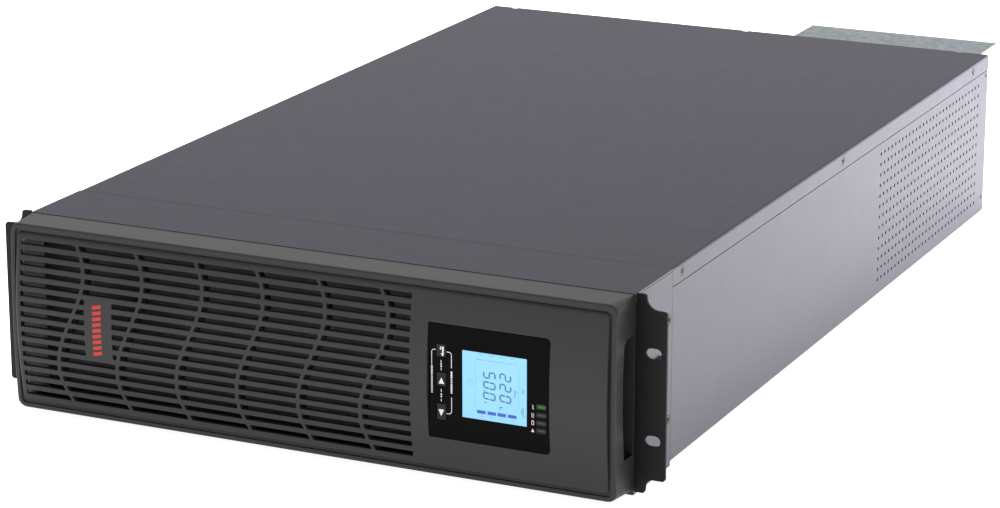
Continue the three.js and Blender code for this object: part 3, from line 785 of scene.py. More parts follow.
def slots_in_face():
    holes = []
    for i in range(16):
        zc = 118 - 7 * i
        z0, z1 = zc - 1.65, zc + 1.65
        bounds = [None] + list(RIB_X) + [None]
        for k in range(len(bounds) - 1):
            def left(z, k=k):
                return -210.5 if bounds[k] is None else bounds[k] + rib_at(z) + 1.3

            def right(z, k=k):
                return 79.3 if bounds[k + 1] is None else bounds[k + 1] + rib_at(z) - 1.3
            spans = [(left, right)]
            if k == 1 and BADGE[2] < zc < BADGE[3]:
                spans = [(left, lambda z: BADGE[0]), (lambda z: BADGE[1], right)]
            for a, b in spans:
                w = min(b(z0) - a(z0), b(z1) - a(z1), b(zc) - a(zc))
                if w < 1.3:
                    continue
                c = min(0.7, w * 0.3)
                # bottom right, top right, top left, bottom left, each with a rounded corner
                pts = []
                for (f, z, sx, sz) in ((b, z0, -1, 1), (b, z1, -1, -1), (a, z1, 1, -1), (a, z0, 1, 1)):
                    p = [(f(z) + sx * c, z), (f(z + sz * c * 0.3) + sx * c * 0.3, z + sz * c * 0.3), (f(z + sz * c), z + sz * c)]
                    if (sx, sz) in ((-1, -1), (1, 1)):
                        p = p[::-1]
                    pts += p
                    if (f, z) in ((b, z0), (a, z1)):
                        pts.append((f(zc), zc))
                holes.append(pts)
    return holes


def bezel_face():
    outer = rrect(-F_HALF, F_HALF, F_Z0, F_Z1, 3.2, 4)
    window = rrect(PANEL[0], PANEL[1], PANEL[2], PANEL[3], (3.2, 3.2, 0.8, 0.8), 4)
    vf = plate(outer, slots_in_face() + [window], 3.0, 0.42, 3, ro=2.4)
    levels = [F_Z0 + 1.5 + 3.5 * k for k in range(33)]
    vf = sliced(*vf, levels, 1)
    g = on_front(vf, lambda x, z: field_y(z))
    return place("bezel_face", g, M["bezel_plastic"], "bezel", ["bezel_grille"], 38)


bezel_shell()
bezel_face()

# plain wall behind the left end of the louvres, and the back of the moulding
place("louvre_end_wall", rbox(-212.2, -210.35, -26.0, -0.5, 8.5, 121.8, 0.3), X["inner_grey"], "bezel", (), 38)
g = Geo()
g.join(rbox(81.2, 82.8, -25.5, -8.0, 8.5, 121.8, 0.3))
for x in RIB_X:
    pts = [(x + rib_at(z) - 0.9, z) for z in range(10, 122, 4)] + [(x + rib_at(z) + 0.9, z) for z in range(118, 8, -4)]
    g.join(prism(pts, -24.5, -20.8, "y"))
place("louvre_back_ribs", g, M["bezel_plastic"], "bezel", (), 38)


# badge pad with a plain geometric mark
def pad_y(z):
    return field_y(z) - 0.03


bx0, bx1, bz0, bz1 = BADGE
vf = plate(rrect(bx0 + 0.2, bx1 - 0.2, bz0 + 0.2, bz1 - 0.2, 0.8, 3), [], 2.6, 0.25, 2)
vf = sliced(*vf, [bz0 + 3.5 * k for k in range(1, 12)], 1)
place("badge_pad", on_front(vf, lambda x, z: pad_y(z)), M["bezel_plastic"], "bezel", ["badge_plate"], 38)
cxm = -151.1


def slab(outer, holes, thick, y, levels=()):
    vf = plate(outer, holes, thick, 0.04, 1)
    if levels:
        vf = sliced(*vf, levels, 1)
    return on_front(vf, y)


mark = Geo()
top = lambda x, z: pad_y(z) - 0.05
w = 3.3
for k in range(9):
    zb = 79.9 - 4.0 * k
    hw = w
    mark.join(slab([(cxm - hw, zb - 0.9), (cxm + hw, zb + 0.5), (cxm + hw, zb + 3.0), (cxm - hw, zb + 1.6)], [], 0.2, top, [zb + 1]))
place("badge_mark", mark, X["ink_red"], "bezel", (), 30)

# ---------------------------------------------------------------- display module
holes = [rrect(LCD[0], LCD[1], LCD[2], LCD[3], 0.5, 2)]
for k in KEYS.values():
    holes.append(rrect(k[0] - 0.3, k[1] + 0.3, k[2] - 0.3, k[3] + 0.3, 0.9, 3))
for z in LED_Z:
    holes.append(rrect(LED_X[0] - 0.2, LED_X[1] + 0.2, z - LED_H / 2 - 0.2, z + LED_H / 2 + 0.2, 0.7, 3))
vf = plate(rrect(PANEL[0] + 0.25, PANEL[1] - 0.25, PANEL[2] + 0.25, PANEL[3] - 0.25, (3.0, 3.0, 0.7, 0.7), 4), holes, 2.0, 0.22, 2)
place("display_panel", on_front(vf, PANEL_Y), M["gloss_black"], "display", ["display_window"], 38)
refined("display_case", "display_housing", 0.5)
refined("display_circuit", "display_board", 0.2)

y = PANEL_Y
g = Geo()
g.join(rbox(LCD[0] + 0.15, LCD[1] - 0.15, y + 0.35, y + 3, LCD[2] + 0.15, LCD[3] - 0.15, 0.15))
g.join(rbox(LCD[0] - 2.5, LCD[1] + 2.5, y + 2.3, y + 4.6, LCD[2] - 3, LCD[3] + 3, 0.3))
place("lcd_glass", g, M["lcd"], "display", ["lcd_cell"], 38)

LY = y + 0.35 - 0.05   # front of the lcd's printed segments
PY = y - 0.045         # front of the ink on the panel


def flat(poly, yy, t=0.05):
    return prism([(p[0], p[1]) for p in (poly if area2(poly) > 0 else poly[::-1])], yy, yy + t + 0.03, "y")


def stroke(pts, wdt, yy):
    """A line of flat, mitred strokes through the points."""
    g = Geo()
    n = len(pts)
    left, right = [], []
    for i, p in enumerate(pts):
        a = Vector(pts[max(0, i - 1)])
        b = Vector(pts[min(n - 1, i + 1)])
        p = Vector(p)
        t = (b - a).normalized()
        nn = Vector((-t.y, t.x))
        if 0 < i < n - 1:
            e = (p - Vector(pts[i - 1])).normalized()
            k = 1 / max(0.5, nn.dot(Vector((-e.y, e.x))))
        else:
            k = 1
        left.append(tuple(p + nn * wdt / 2 * k))
        right.append(tuple(p - nn * wdt / 2 * k))
    for i in range(n - 1):
        g.join(flat([left[i], left[i + 1], right[i + 1], right[i]], yy))
    return g


SEG = {"0": "abcdef", "2": "abged", "5": "afgcd"}


def digit(ch, base_x, z_start, wide, tall, th, slant=0.10):
    """Seven segments; the text runs down (-Z) and its top points to +X."""
    def T(u, v):
        u += v * slant
        return (base_x + v, z_start - u)
    h = tall / 2
    o = th * 0.12
    def hor(v):
        return [(o + th * .5, v), (o + th, v + th / 2), (wide - th - o, v + th / 2), (wide - th / 2 - o, v), (wide - th - o, v - th / 2), (o + th, v - th / 2)]
    def ver(u, v0, v1):
        return [(u, v0 + o), (u + th / 2, v0 + th / 2 + o), (u + th / 2, v1 - th / 2 - o), (u, v1 - o), (u - th / 2, v1 - th / 2 - o), (u - th / 2, v0 + th / 2 + o)]
    seg = {
        "a": hor(tall - th / 2), "g": hor(h), "d": hor(th / 2),
        "f": ver(th / 2, h, tall - th / 2), "b": ver(wide - th / 2, h, tall - th / 2),
        "e": ver(th / 2, th / 2, h), "c": ver(wide - th / 2, th / 2, h),
    }
    g = Geo()
    for s in SEG[ch]:
        g.join(flat([T(u, v) for u, v in seg[s]], LY))
    return g


art = Geo()
for ch, z0 in zip("500", (77.7, 71.0, 63.9)):
    art.join(digit(ch, 130.7, z0, 4.9, 8.7, 1.0))
for ch, z0 in zip("220", (77.7, 70.9, 63.6)):
    art.join(digit(ch, 142.0, z0, 4.9, 8.2, 1.0))
art.join(flat([(131.1, 63.9), (132.0, 63.9), (132.0, 64.7), (131.1, 64.7)], LY))
art.join(flat([(131.2, 57.0), (133.2, 57.0), (133.2, 56.5), (131.2, 56.5)], LY))
art.join(flat([(142.0, 55.2), (144.2, 55.2), (144.2, 54.6), (142.0, 54.6)], LY))
art.join(flat([(142.0, 54.0), (143.2, 54.0), (143.2, 53.4), (142.0, 53.4)], LY))
place("lcd_digits", art.moved(**SHIFT), X["lcd_dark"], "display")

art = Geo()
for x in (129.5, 136.7, 143.6, 150.8):
    art.join(flat(rrect(x - 3.0, x + 3.0, 48.8, 51.0, 0.35, 2), LY))
place("lcd_level_bars", art.moved(**SHIFT), X["lcd_blue"], "display")

art = Geo()
for i, x in enumerate((129.5, 136.7, 143.6, 150.8)):
    for k in range(3):
        art.join(flat([(x - 1.2 + k * 0.9, 46.8), (x - 0.6 + k * 0.9, 46.8), (x - 0.6 + k * 0.9, 47.4), (x - 1.2 + k * 0.9, 47.4)], LY))
    e0, e1 = x - 2.9, x + 2.9
    art.join(stroke([(e0, 86.3 if i == 0 else 84.6), (e0, 84.3), (e1, 84.3), (e1, 86.3 if i == 3 else 84.6)], 0.3, LY))
    art.join(flat([(x - 1.6, 87.4), (x + 1.6, 87.4), (x + 1.6, 87.9), (x - 1.6, 87.9)], LY))
art.join(stroke([(125.3, 52.6), (125.3, 81.5)], 0.22, LY))
art.join(stroke([(155.2, 54.3), (155.2, 83.0)], 0.22, LY))
art.join(stroke([(121.5 + 2 * math.cos(a), 68 + 2 * math.sin(a)) for a in [2 * math.pi * i / 18 for i in range(19)]], 0.3, LY))
art.join(stroke([(120.7, 67.0), (121.4, 68.4), (122.5, 69.2)], 0.3, LY))
for x, z, a, b in ((152.6, 66.0, 0.5, 1.6), (152.6, 63.4, 0.5, 1.0), (153.6, 66.4, 0.4, 0.8), (158.2, 68.0, 0.9, 0.5), (158.2, 66.6, 0.9, 0.5), (158.3, 55.0, 0.5, 1.8), (157.4, 54.0, 0.5, 1.8), (158.3, 51.6, 0.5, 1.0)):
    art.join(flat([(x - a, z - b), (x + a, z - b), (x + a, z + b), (x - a, z + b)], LY))
place("lcd_frame_marks", art.moved(**SHIFT), X["lcd_faint"], "display")

# ink on the panel: brackets, tick rows and separators, white print with a painted glow
ink = Geo()


def corner(x, z, sx, sz, r=1.4, n=4):
    return [(x + sx * r * (1 - math.sin(math.radians(90 * k / n))), z + sz * r * (1 - math.cos(math.radians(90 * k / n)))) for k in range(n + 1)]


lw = 0.42
ink.join(stroke([(97.9, 86.9)] + [(96.5, 86.9), (95.6, 86.5), (95.15, 85.7), (95.1, 84.8)] + [(95.1, 76.6)], lw, PY))
ink.join(stroke([(105.4, 86.3), (107.4, 86.3), (108.3, 85.9), (108.8, 85.2), (108.9, 84.2), (108.9, 76.0)], lw, PY))
ink.join(stroke([(108.9, 56.6), (108.9, 47.3), (108.7, 46.4), (108.1, 45.8), (107.2, 45.5), (105.4, 45.5)], lw, PY))
for z in [75.6 - 1.15 * k for k in range(16)]:
    h = 0.33 + 0.1 * ((int(z * 7)) % 2)
    ink.join(flat([(94.55, z - h), (95.75, z - h), (95.75, z + h), (94.55, z + h)], PY))
for z in [73.4 - 1.15 * k for k in range(13)]:
    h = 0.33 + 0.1 * ((int(z * 5)) % 2)
    ink.join(flat([(108.3, z - h), (109.5, z - h), (109.5, z + h), (108.3, z + h)], PY))
for z0, z1 in ((80.4, 73.6), (61.2, 53.0)):
    ink.join(stroke([(101.7, z0), (101.7, z0 - 1.9)], 0.4, PY))
    ink.join(stroke([(101.7, z1 + 1.7), (101.7, z1)], 0.4, PY))
    zc = (z0 + z1) / 2
    ink.join(flat(ring(101.7, zc + 0.7, 0.55, 8), PY))
    ink.join(flat(ring(101.7, zc - 0.8, 0.55, 8), PY))
place("panel_ink", ink.moved(**SHIFT), X["ink_white_glow"], "display")

ink = Geo()
zz = [58.5, 53.1, 48.3, 43.2]
ink.join(stroke([(164.5, zz[0] + 1.5), (165.5, zz[0] + 0.7), (165.2, zz[0]), (164.9, zz[0] - 0.6), (165.8, zz[0] - 1.4)], 0.4, PY))
ink.join(flat([(164.3, zz[1] - 1.5), (164.8, zz[1] - 1.5), (164.8, zz[1] + 1.5), (164.3, zz[1] + 1.5)], PY))
for k in (-1, 0, 1):
    ink.join(flat([(165.4, zz[1] + k * 1.1 - 0.35), (165.9, zz[1] + k * 1.1 - 0.35), (165.9, zz[1] + k * 1.1 + 0.35), (165.4, zz[1] + k * 1.1 + 0.35)], PY))
ink.join(slab(rrect(164.2, 166.0, zz[2] - 1.5, zz[2] + 1.3, 0.3, 2), [rrect(164.65, 165.55, zz[2] - 1.05, zz[2] + 0.85, 0.2, 2)], 0.08, PY))
ink.join(flat([(164.8, zz[2] + 1.3), (165.4, zz[2] + 1.3), (165.4, zz[2] + 1.7), (164.8, zz[2] + 1.7)], PY))
ink.join(slab([(163.9, zz[3] - 1.1), (166.3, zz[3] - 1.1), (165.1, zz[3] + 1.3)], [], 0.08, PY))
place("panel_led_symbols", ink.moved(**SHIFT), X["ink_pink_glow"], "display")

# light pipes, each with its thin printed outline
ink = Geo()
for i, z in enumerate(LED_Z):
    g = rbox(LED_X[0], LED_X[1], y, y + 6.4, z - LED_H / 2, z + LED_H / 2, 0.5, 3)
    s = "led_dark" if i else "led_green"
    place("light_pipe_%d" % (i + 1), g, M[s], "display", ["status_led_%d" % (i + 1)], 50)
    ink.join(slab(rrect(LED_X[0] - 0.55, LED_X[1] + 0.55, z - LED_H / 2 - 0.5, z + LED_H / 2 + 0.5, 0.9, 3), [rrect(LED_X[0] - 0.25, LED_X[1] + 0.25, z - LED_H / 2 - 0.22, z + LED_H / 2 + 0.22, 0.7, 3)], 0.06, PY))
place("panel_led_outlines", ink, X["ink_grey"], "display")

for name, k in KEYS.items():
    g = rbox(k[0], k[1], y - 0.1, y + 5.4, k[2], k[3], 0.55, 3)
    g.join(rbox(k[0] - 1, k[1] + 1, y + 2.3, y + 3.3, k[2] - 1, k[3] + 1, 0.2, 1))
    place(name + "_cap", g, M["key_rubber"], name, [name], 45)
    KY = y - 0.14
    s = Geo()
    if name == "key_enter":
        s.join(stroke([(101.0, 89.0), (103.0, 89.0), (103.0, 84.6)], 0.75, KY))
        s.join(flat([(101.4, 84.9), (104.0, 84.9), (102.7, 83.0)][::-1], KY))
        s.join(stroke([(101.3, 89.0), (101.3, 87.2)], 0.6, KY))
    elif name == "key_up":
        s.join(flat([(99.9, 64.8), (103.8, 64.8), (101.9, 69.0)], KY))
    else:
        s.join(flat([(99.7, 47.7), (103.7, 47.7), (101.6, 43.3)], KY))
    place(name + "_symbol", s.moved(**SHIFT), X["ink_white_glow"], name)


# ---------------------------------------------------------------- rack ears
def ear_outline():
    o = [(220.3, 0.2), (226.4, 0.2), (227.6, 1.4), (228, 4.6)]
    o += arc(233, 4.6, 5, 180, 90, 6)[1:]
    o += [(239.8, 9.6), (241.0, 10.6), (241.3, 11.6), (241.3, 119), (239.8, 120.4), (235, 120.6)]
    o += arc(235, 128.1, 7.5, -90, -180, 8)[1:]
    o += [(227.2, 129.6), (226, 130.5), (220.3, 130.5)]
    return o


def oblong(cx, cz, L, H, n=7):
    d, r = (L - H) / 2, H / 2
    return arc(cx + d, cz, r, -90, 90, n) + arc(cx - d, cz, r, 90, 270, n)


ear = on_front(plate(ear_outline(), [oblong(232.55, z, 10.4, 7.2) for z in (35.425, 92.575)], 2.0, 0.3, 2), 0)
flange = rbox(220.3, 221.9, 0.4, 12, 6, 120, 0.3).join(rbox(220.3, 221.9, 5, 42, 42, 78, 0.3))
for side, body_name in ((1, "right_rack_ear"), (-1, "left_rack_ear")):
    g = Geo().join(ear, flange)
    for zc in (49, 71):
        g.join(lathe([(0, 1.35), (1.6, 1.3), (2.6, 0.9), (2.9, 0.2), (2.9, 0)], "x", (221.9, 34, zc), 16))
    if side < 0:
        g = g.mirrored()
    place(body_name + "_sheet", g, M["ear_black"], "chassis", [body_name], 38)


# ---------------------------------------------------------------- case
def cover():
    R = 1.9
    outer = [(HALF_W, SEAM_Z)] + [(HALF_W - R + x, HEIGHT - R + z) for x, z in arc(0, 0, R, 0, 90, 6)]
    outer += [(-HALF_W + R + x, HEIGHT - R + z) for x, z in arc(0, 0, R, 90, 180, 6)] + [(-HALF_W, SEAM_Z)]
    ri = R - SHEET
    inner = [(-HALF_W + SHEET, SEAM_Z)] + [(-HALF_W + R + x, HEIGHT - R + z) for x, z in arc(0, 0, ri, 180, 90, 3)]
    inner += [(HALF_W - R + x, HEIGHT - R + z) for x, z in arc(0, 0, ri, 90, 0, 3)] + [(HALF_W - SHEET, SEAM_Z)]
    body = prism(outer + inner, 60.3, DEPTH, "y")
    ob = raw("cover_sheet", body, M["sheet_top"])
    cuts = []
    for sy in (75.3, 378.2, 683.4):
        for s in (1, -1):
            cuts.append(prism(ring(sy, 124.4, 3.2, 20), 218 if s > 0 else -221, 221 if s > 0 else -218, "x"))
    for xx in (-200, 11, 195):
        cuts.append(prism([(xx - 2.6, DEPTH - 2.2), (xx + 2.6, DEPTH - 2.2), (xx + 2.6, DEPTH + 3), (xx - 2.6, DEPTH + 3)], 127, 132, "z"))
    boolean(ob, cuts)
    front = raw("front_lip", prism([(HALF_W, 128.5), (HALF_W, 129.5), (HALF_W - .15, 129.85), (HALF_W - .5, HEIGHT), (-HALF_W + .5, HEIGHT), (-HALF_W + .15, 129.85), (-HALF_W, 129.5), (-HALF_W, 128.5)], 0.02, 60.6, "y"), M["sheet_top"])
    settle(ob, "chassis", ["top_cover"], 38)
    settle(front, "chassis", (), 38)
    # sideways faces take the lighter sheet_side copy, the top keeps the darker sheet_top copy: painted shade on the
    # top, painted light on the side flanges
    for o in (ob, front):
        o.data.materials.append(M["sheet_side"])
        for p in o.data.polygons:
            if abs(p.center.x) > 219.3 * MM and abs(p.normal.x) > 0.45:
                p.material_index = 1
    return ob


cover()


def wall(x_out, sign):
    """Side wall with its field of round holes: 30 columns by 13 rows."""
    g = Geo()
    y0, py, ny = 463.5, (699.5 - 463.5) / 29, 30
    z0, pz, nz = 12.5, (109.5 - 12.5) / 12, 13
    ya, yb = y0 - py / 2, y0 + py * (ny - 0.5)
    za, zb = z0 - pz / 2, z0 + pz * (nz - 0.5)
    n = 12
    xi, xo = x_out - sign * SHEET, x_out

    def quad(a, b, c, d, x, flip):
        f = [[0, 1, 2, 3]]
        if flip:
            f = [[3, 2, 1, 0]]
        g.add([(x, *p) for p in (a, b, c, d)], f)

    # plain areas round the holes, outside and inside
    for x, flip in ((xo, sign < 0), (xi, sign > 0)):
        for (a0, a1, b0, b1) in ((60.3, ya, 1.9, 117.4), (yb, DEPTH, 1.9, 117.4), (ya, yb, 1.9, za), (ya, yb, zb, 117.4)):
            quad((a0, b0), (a1, b0), (a1, b1), (a0, b1), x, flip)
    # rims: top, front and rear edges of the sheet
    def edge(p, q):
        v = [(xo, *p), (xo, *q), (xi, *q), (xi, *p)]
        g.add(v, [[0, 3, 2, 1] if sign > 0 else [0, 1, 2, 3]])
    edge((60.3, 117.4), (60.3, 1.9))
    edge((60.3, 1.9), (DEPTH, 1.9))
    edge((DEPTH, 1.9), (DEPTH, 117.4))
    edge((DEPTH, 117.4), (60.3, 117.4))
    # square cells with a round hole
    sq = []
    for i in range(n):
        a = 2 * math.pi * (i + 0.5) / n
        c, s = math.cos(a), math.sin(a)
        k = 1 / max(abs(c), abs(s))
        sq.append((c * k, s * k))
    cs = [(math.cos(2 * math.pi * (i + 0.5) / n), math.sin(2 * math.pi * (i + 0.5) / n)) for i in range(n)]
    full = []
    for i in range(n):
        p, q = sq[i], sq[(i + 1) % n]
        full.append((i, p))
        if abs(abs(p[0]) - 1) < 1e-9 and abs(abs(q[1]) - 1) < 1e-9 and not abs(abs(q[0]) - 1) < 1e-9 or abs(abs(p[1]) - 1) < 1e-9 and abs(abs(q[0]) - 1) < 1e-9 and not abs(abs(q[1]) - 1) < 1e-9:
            full.append((None, (math.copysign(1, p[0] + q[0]), math.copysign(1, p[1] + q[1]))))
    for a in range(ny):
        for b in range(nz):
            cy, cz = y0 + py * a, z0 + pz * b
            m = len(full)
            for x, rr, flip in ((xo, 1.5, sign < 0), (xi, 1.38, sign > 0)):
                v = [(x, cy + s[0] * py / 2, cz + s[1] * pz / 2) for _, s in full]
                v += [(x, cy + rr * c, cz + rr * s) for c, s in cs]
                f = []
                for j in range(m):
                    i0, i1 = full[j][0], full[(j + 1) % m][0]
                    if i0 is not None and i1 is not None:
                        f.append([m + i0, j, (j + 1) % m, m + i1])
                    elif i0 is not None:
                        f.append([m + i0, j, (j + 1) % m, (j + 2) % m, m + full[(j + 2) % m][0]])
                if flip:
                    f = [q[::-1] for q in f]
                g.add(v, f)
            xm = xo - sign * 0.14
            v = [(xo, cy + 1.5 * c, cz + 1.5 * s) for c, s in cs]
            v += [(xm, cy + 1.38 * c, cz + 1.38 * s) for c, s in cs]
            v += [(xi, cy + 1.38 * c, cz + 1.38 * s) for c, s in cs]
            f = []
            for k in (0, n):
                for i in range(n):
                    j = (i + 1) % n
                    q = [k + i, k + j, k + n + j, k + n + i]
                    f.append(q if sign > 0 else q[::-1])
            g.add(v, f)
    return g


tray = wall(HALF_W, 1).join(wall(-HALF_W, -1))
R = 1.9
sec = [(HALF_W - R + x, R + z) for x, z in arc(0, 0, R, 0, -90, 5)] + [(-HALF_W + R + x, R + z) for x, z in arc(0, 0, R, -90, -180, 5)]
sec += [(-HALF_W + SHEET, R)] + [(-HALF_W + SHEET, SHEET), (HALF_W - SHEET, SHEET)] + [(HALF_W - SHEET, R)]
tray.join(prism(sec, 60.3, DEPTH, "y"))
tray.join(rbox(-218.2, 218.2, 1.8, 61.5, 0, 1.5, 0.3))
for s in (1, -1):
    j = rbox(216.7, 218.2, 60.5, DEPTH - 4, 115, 127, 0.3).join(rbox(216.9, 219.6, 60.5, DEPTH - 4, 115.6, 117.0, 0.2))
    tray.join(j if s > 0 else j.mirrored())
# the tray takes the lighter sheet_side copy of the case paint, painted light on the side walls
place("tray_shell", tray, M["sheet_side"], "chassis", ["chassis_tray"], 30)

ob = refined("front_cheeks", "front_frame", 0.3)
# the cheeks' front faces behind the bezel take the black door paint: painted shade in the gap between bezel and ears
ob.data.materials.append(M["door_black"])
for p in ob.data.polygons:
    if p.center.y < OY + 0.25 * MM or p.center.y < OY + 1.75 * MM and (abs(p.center.x) < 218.45 * MM or p.normal.y < -0.2):
        p.material_index = 1
refined("rear_plate", "rear_panel", 0.25)


# ---------------------------------------------------------------- screws
def screw_head(r, cross, h=0.9, csk=True):
    """A head seen along +X with a cross recess, in local (y, z, depth)."""
    a, b = cross, cross * 0.32
    plus = [(a, -b), (a, b), (b, b), (b, a), (-b, a), (-b, b), (-a, b), (-a, -b), (-b, -b), (-b, -a), (b, -a), (b, -b)]
    v, f = plate(ring(0, 0, r, 20), [plus], h, 0.18 if csk else 0.3, 2)
    # floor of the recess
    n = len(v)
    v = list(v) + [(p[0] * 0.85, p[1] * 0.85, h * 0.85) for p in plus] + [(p[0], p[1], 0.1) for p in plus]
    m = len(plus)
    f = list(f) + [[n + i for i in range(m)]]
    for i in range(m):
        j = (i + 1) % m
        f.append([n + m + i, n + m + j, n + j, n + i])
    return v, f


def side_screw(yc, zc, x, sign, r=2.9, cross=1.75, tilt=20, stem=5.5):
    v, f = screw_head(r, cross)
    c, s = math.cos(math.radians(tilt)), math.sin(math.radians(tilt))
    g = Geo().add([(x - d, yc + a * c - b * s, zc + a * s + b * c) for a, b, d in v], f)
    if stem:
        g.join(lathe([(0, -stem), (1.4, -stem), (1.7, -stem + 0.4), (1.7, -0.8)], "x", (x, yc, zc), 12))
    return g if sign > 0 else g.mirrored()


for i, sy in enumerate((75.3, 378.2, 683.4)):
    for s, nm in ((1, "right"), (-1, "left")):
        place("flange_screw_%s_%d" % (nm, i + 1), side_screw(sy, 124.4, 219.9, s, tilt=20 + 37 * i), M["screw_steel"], "chassis", ["cover_screw_%s_%d" % (nm, i + 1)], 38)
for i, sz in enumerate((97.2, 30.6)):
    for s, nm in ((1, "right"), (-1, "left")):
        place("side_screw_%s_%d" % (nm, i + 1), side_screw(55.4, sz, 219.9, s, tilt=12 + 50 * i), M["screw_steel"], "chassis", ["cheek_screw_%s_%d" % (nm, i + 1)], 38)
g = Geo()
for s in (1, -1):
    for z in (114, 13):
        g.join(side_screw(719, z, 220.25, s, 1.7, 1.0, 15, 3))
place("rear_edge_screws", g, M["screw_steel"], "chassis", (), 38)


def rear_screw(x, z, yy, r=3.2, cross=1.8, tilt=15, h=1.6):
    """A pan head on the rear panel, seen from +Y."""
    v, f = screw_head(r, cross, h, False)
    c, s = math.cos(math.radians(tilt)), math.sin(math.radians(tilt))
    return Geo().add([(x - (a * c - b * s), yy + h - d, z + a * s + b * c) for a, b, d in v], f)


# ---------------------------------------------------------------- rear
R = 1.7
y0, yf = DEPTH + 0.3, DEPTH + 49
hood = [(y0, 109.0)] + [(y0 + R + a, 128.9 - R + b) for a, b in arc(0, 0, R, 180, 90, 5)] + [(yf - 0.2, 128.9), (yf, 128.7), (yf, 127.9), (yf - 0.2, 127.7)]
hood += [(y0 + R + a, 128.9 - R + b) for a, b in arc(0, 0, 0.5, 90, 180, 3)] + [(y0 + 1.2, 109.0)]
place("hood_sheet", prism(hood, 52.2, 211.2, "x"), M["zinc"], "chassis", ["terminal_hood"], 38)
g = Geo()
for x in (60, 131.7, 203.5):
    g.join(rear_screw(x, 118.6, y0 + 1.2, 2.7, 1.5, 25, 1.3))
place("hood_screws", g, X["bright_screw"], "chassis", (), 38)

refined("terminal_body", "terminal_block", 0.5)
g = Geo()
gs = Geo()
for i in range(8):
    x = 63.5 + 17 * (i + 0.5)
    g.join(rbox(x - 5.6, x + 5.6, DEPTH + 9.2, DEPTH + 10.6, 79.0, 97.0, 0.4))
    g.join(rbox(x - 4.6, x + 4.6, DEPTH + 10.4, DEPTH + 11.8, 82.5, 93.5, 0.5))
    gs.join(rear_screw(x, 88, DEPTH + 11.7, 3.9, 2.3, 18 + 23 * i, 2.6))
place("terminal_plates", g, X["terminal_metal"], "chassis", (), 38)
place("terminal_screws", gs, X["bright_screw"], "chassis", (), 38)

refined("expansion_cover_plate", "expansion_slot_cover", 0.3)
g = Geo()
for z in (23.8, 110.2):
    g.join(rear_screw(-151, z, DEPTH + 1.7, 2.4, 1.4, 33, 1.2))
place("expansion_cover_screws", g, X["bright_screw"], "chassis", (), 38)


# serial port: D-shaped shell, insulator with nine pins, two jack posts
def dee(cx, cz, wt, wb, h, r=1.2):
    a = [(cx + wb / 2, cz - h / 2), (cx + wt / 2, cz + h / 2), (cx - wt / 2, cz + h / 2), (cx - wb / 2, cz - h / 2)]
    out = []
    for i in range(4):
        p, q, s = Vector(a[i - 1]), Vector(a[i]), Vector(a[(i + 1) % 4])
        e1, e2 = (p - q).normalized(), (s - q).normalized()
        for k in range(4):
            t = k / 3
            c = q + e1 * r * (1 - t) ** 2 + e2 * r * t ** 2
            out.append(tuple(c))
    return out


def on_rear(vf, yy):
    v, f = vf
    return Geo().add([(-u, yy - d, w_) for u, w_, d in v], f)


g = on_rear(plate(rrect(180.1, 209.9, 98.2, 109.8, 1.0, 3), [dee(195, 104, 18.6, 17.0, 7.8)], 1.0, 0.15, 1), DEPTH + 1.0)
g.join(on_rear(plate(dee(195, 104, 19.6, 18.0, 8.8), [dee(195, 104, 18.6, 17.0, 7.8)], 6.0, 0.15, 1), DEPTH + 6.0))
g.join(rbox(-206, -184, DEPTH - 9, DEPTH, 99.5, 108.5, 0.4))
place("serial_shell", g, M["port_metal"], "chassis", ["serial_port"], 38)
g = on_rear(plate(dee(195, 104, 18.4, 16.8, 7.6), [], 3.4, 0.2, 1), DEPTH + 3.4)
place("serial_insulator", g, M["black_plastic"], "chassis", (), 38)
g = Geo()
for k in range(5):
    g.join(lathe([(0.5, 0), (0.5, 1.6), (0.3, 1.9), (0, 2.0)], "y", (-195 + (k - 2) * 2.76, DEPTH + 3.3, 105.4), 10))
for k in range(4):
    g.join(lathe([(0.5, 0), (0.5, 1.6), (0.3, 1.9), (0, 2.0)], "y", (-195 + (k - 1.5) * 2.76, DEPTH + 3.3, 102.6), 10))
place("serial_pins", g, X["brass_pin"], "chassis", (), 40)
g = Geo()
for x in (-207.4, -182.6):
    v, f = plate(ring(0, 0, 2.3, 6), [ring(0, 0, 1.1, 14)], 4.4, 0.25, 1)
    g.join(Geo().add([(x - a, DEPTH + 5.4 - d, 104 + b) for a, b, d in v], f))
place("serial_jack_posts", g, X["bright_screw"], "chassis", (), 38)

v, f = plate([(6, -5.5), (6, 3), (4, 5.5), (-4, 5.5), (-6, 3), (-6, -5.5)], [[(5, -4.6), (5, 2.6), (3.5, 4.6), (-3.5, 4.6), (-5, 2.6), (-5, -4.6)]], 12, 0.2, 1)
g = Geo().add([(-200 - a, DEPTH + 1.2 - d, 83.5 + b) for a, b, d in v], f)
g.join(rbox(-205.5, -194.5, DEPTH - 13.5, DEPTH - 10.5, 78.4, 88.6, 0.3))
place("usb_shell", g, M["port_metal"], "chassis", ["usb_port"], 38)
g = rbox(-202.6, -197.4, DEPTH - 11, DEPTH - 0.4, 81.2, 85.4, 0.4)
place("usb_tongue", g, M["black_plastic"], "chassis", (), 38)

refined("breaker_case", "input_breaker", 0.6)
g = Geo()
for s in (-1, 1):
    g.join(rbox(-194 + s * 14.6 - 1.6, -194 + s * 14.6 + 1.6, DEPTH + 1.8, DEPTH + 2.5, 20, 62, 0.3))
place("breaker_side_rails", g, M["black_plastic"], "chassis", (), 38)
refined("breaker_paddle", "breaker_lever", 0.8, 3)


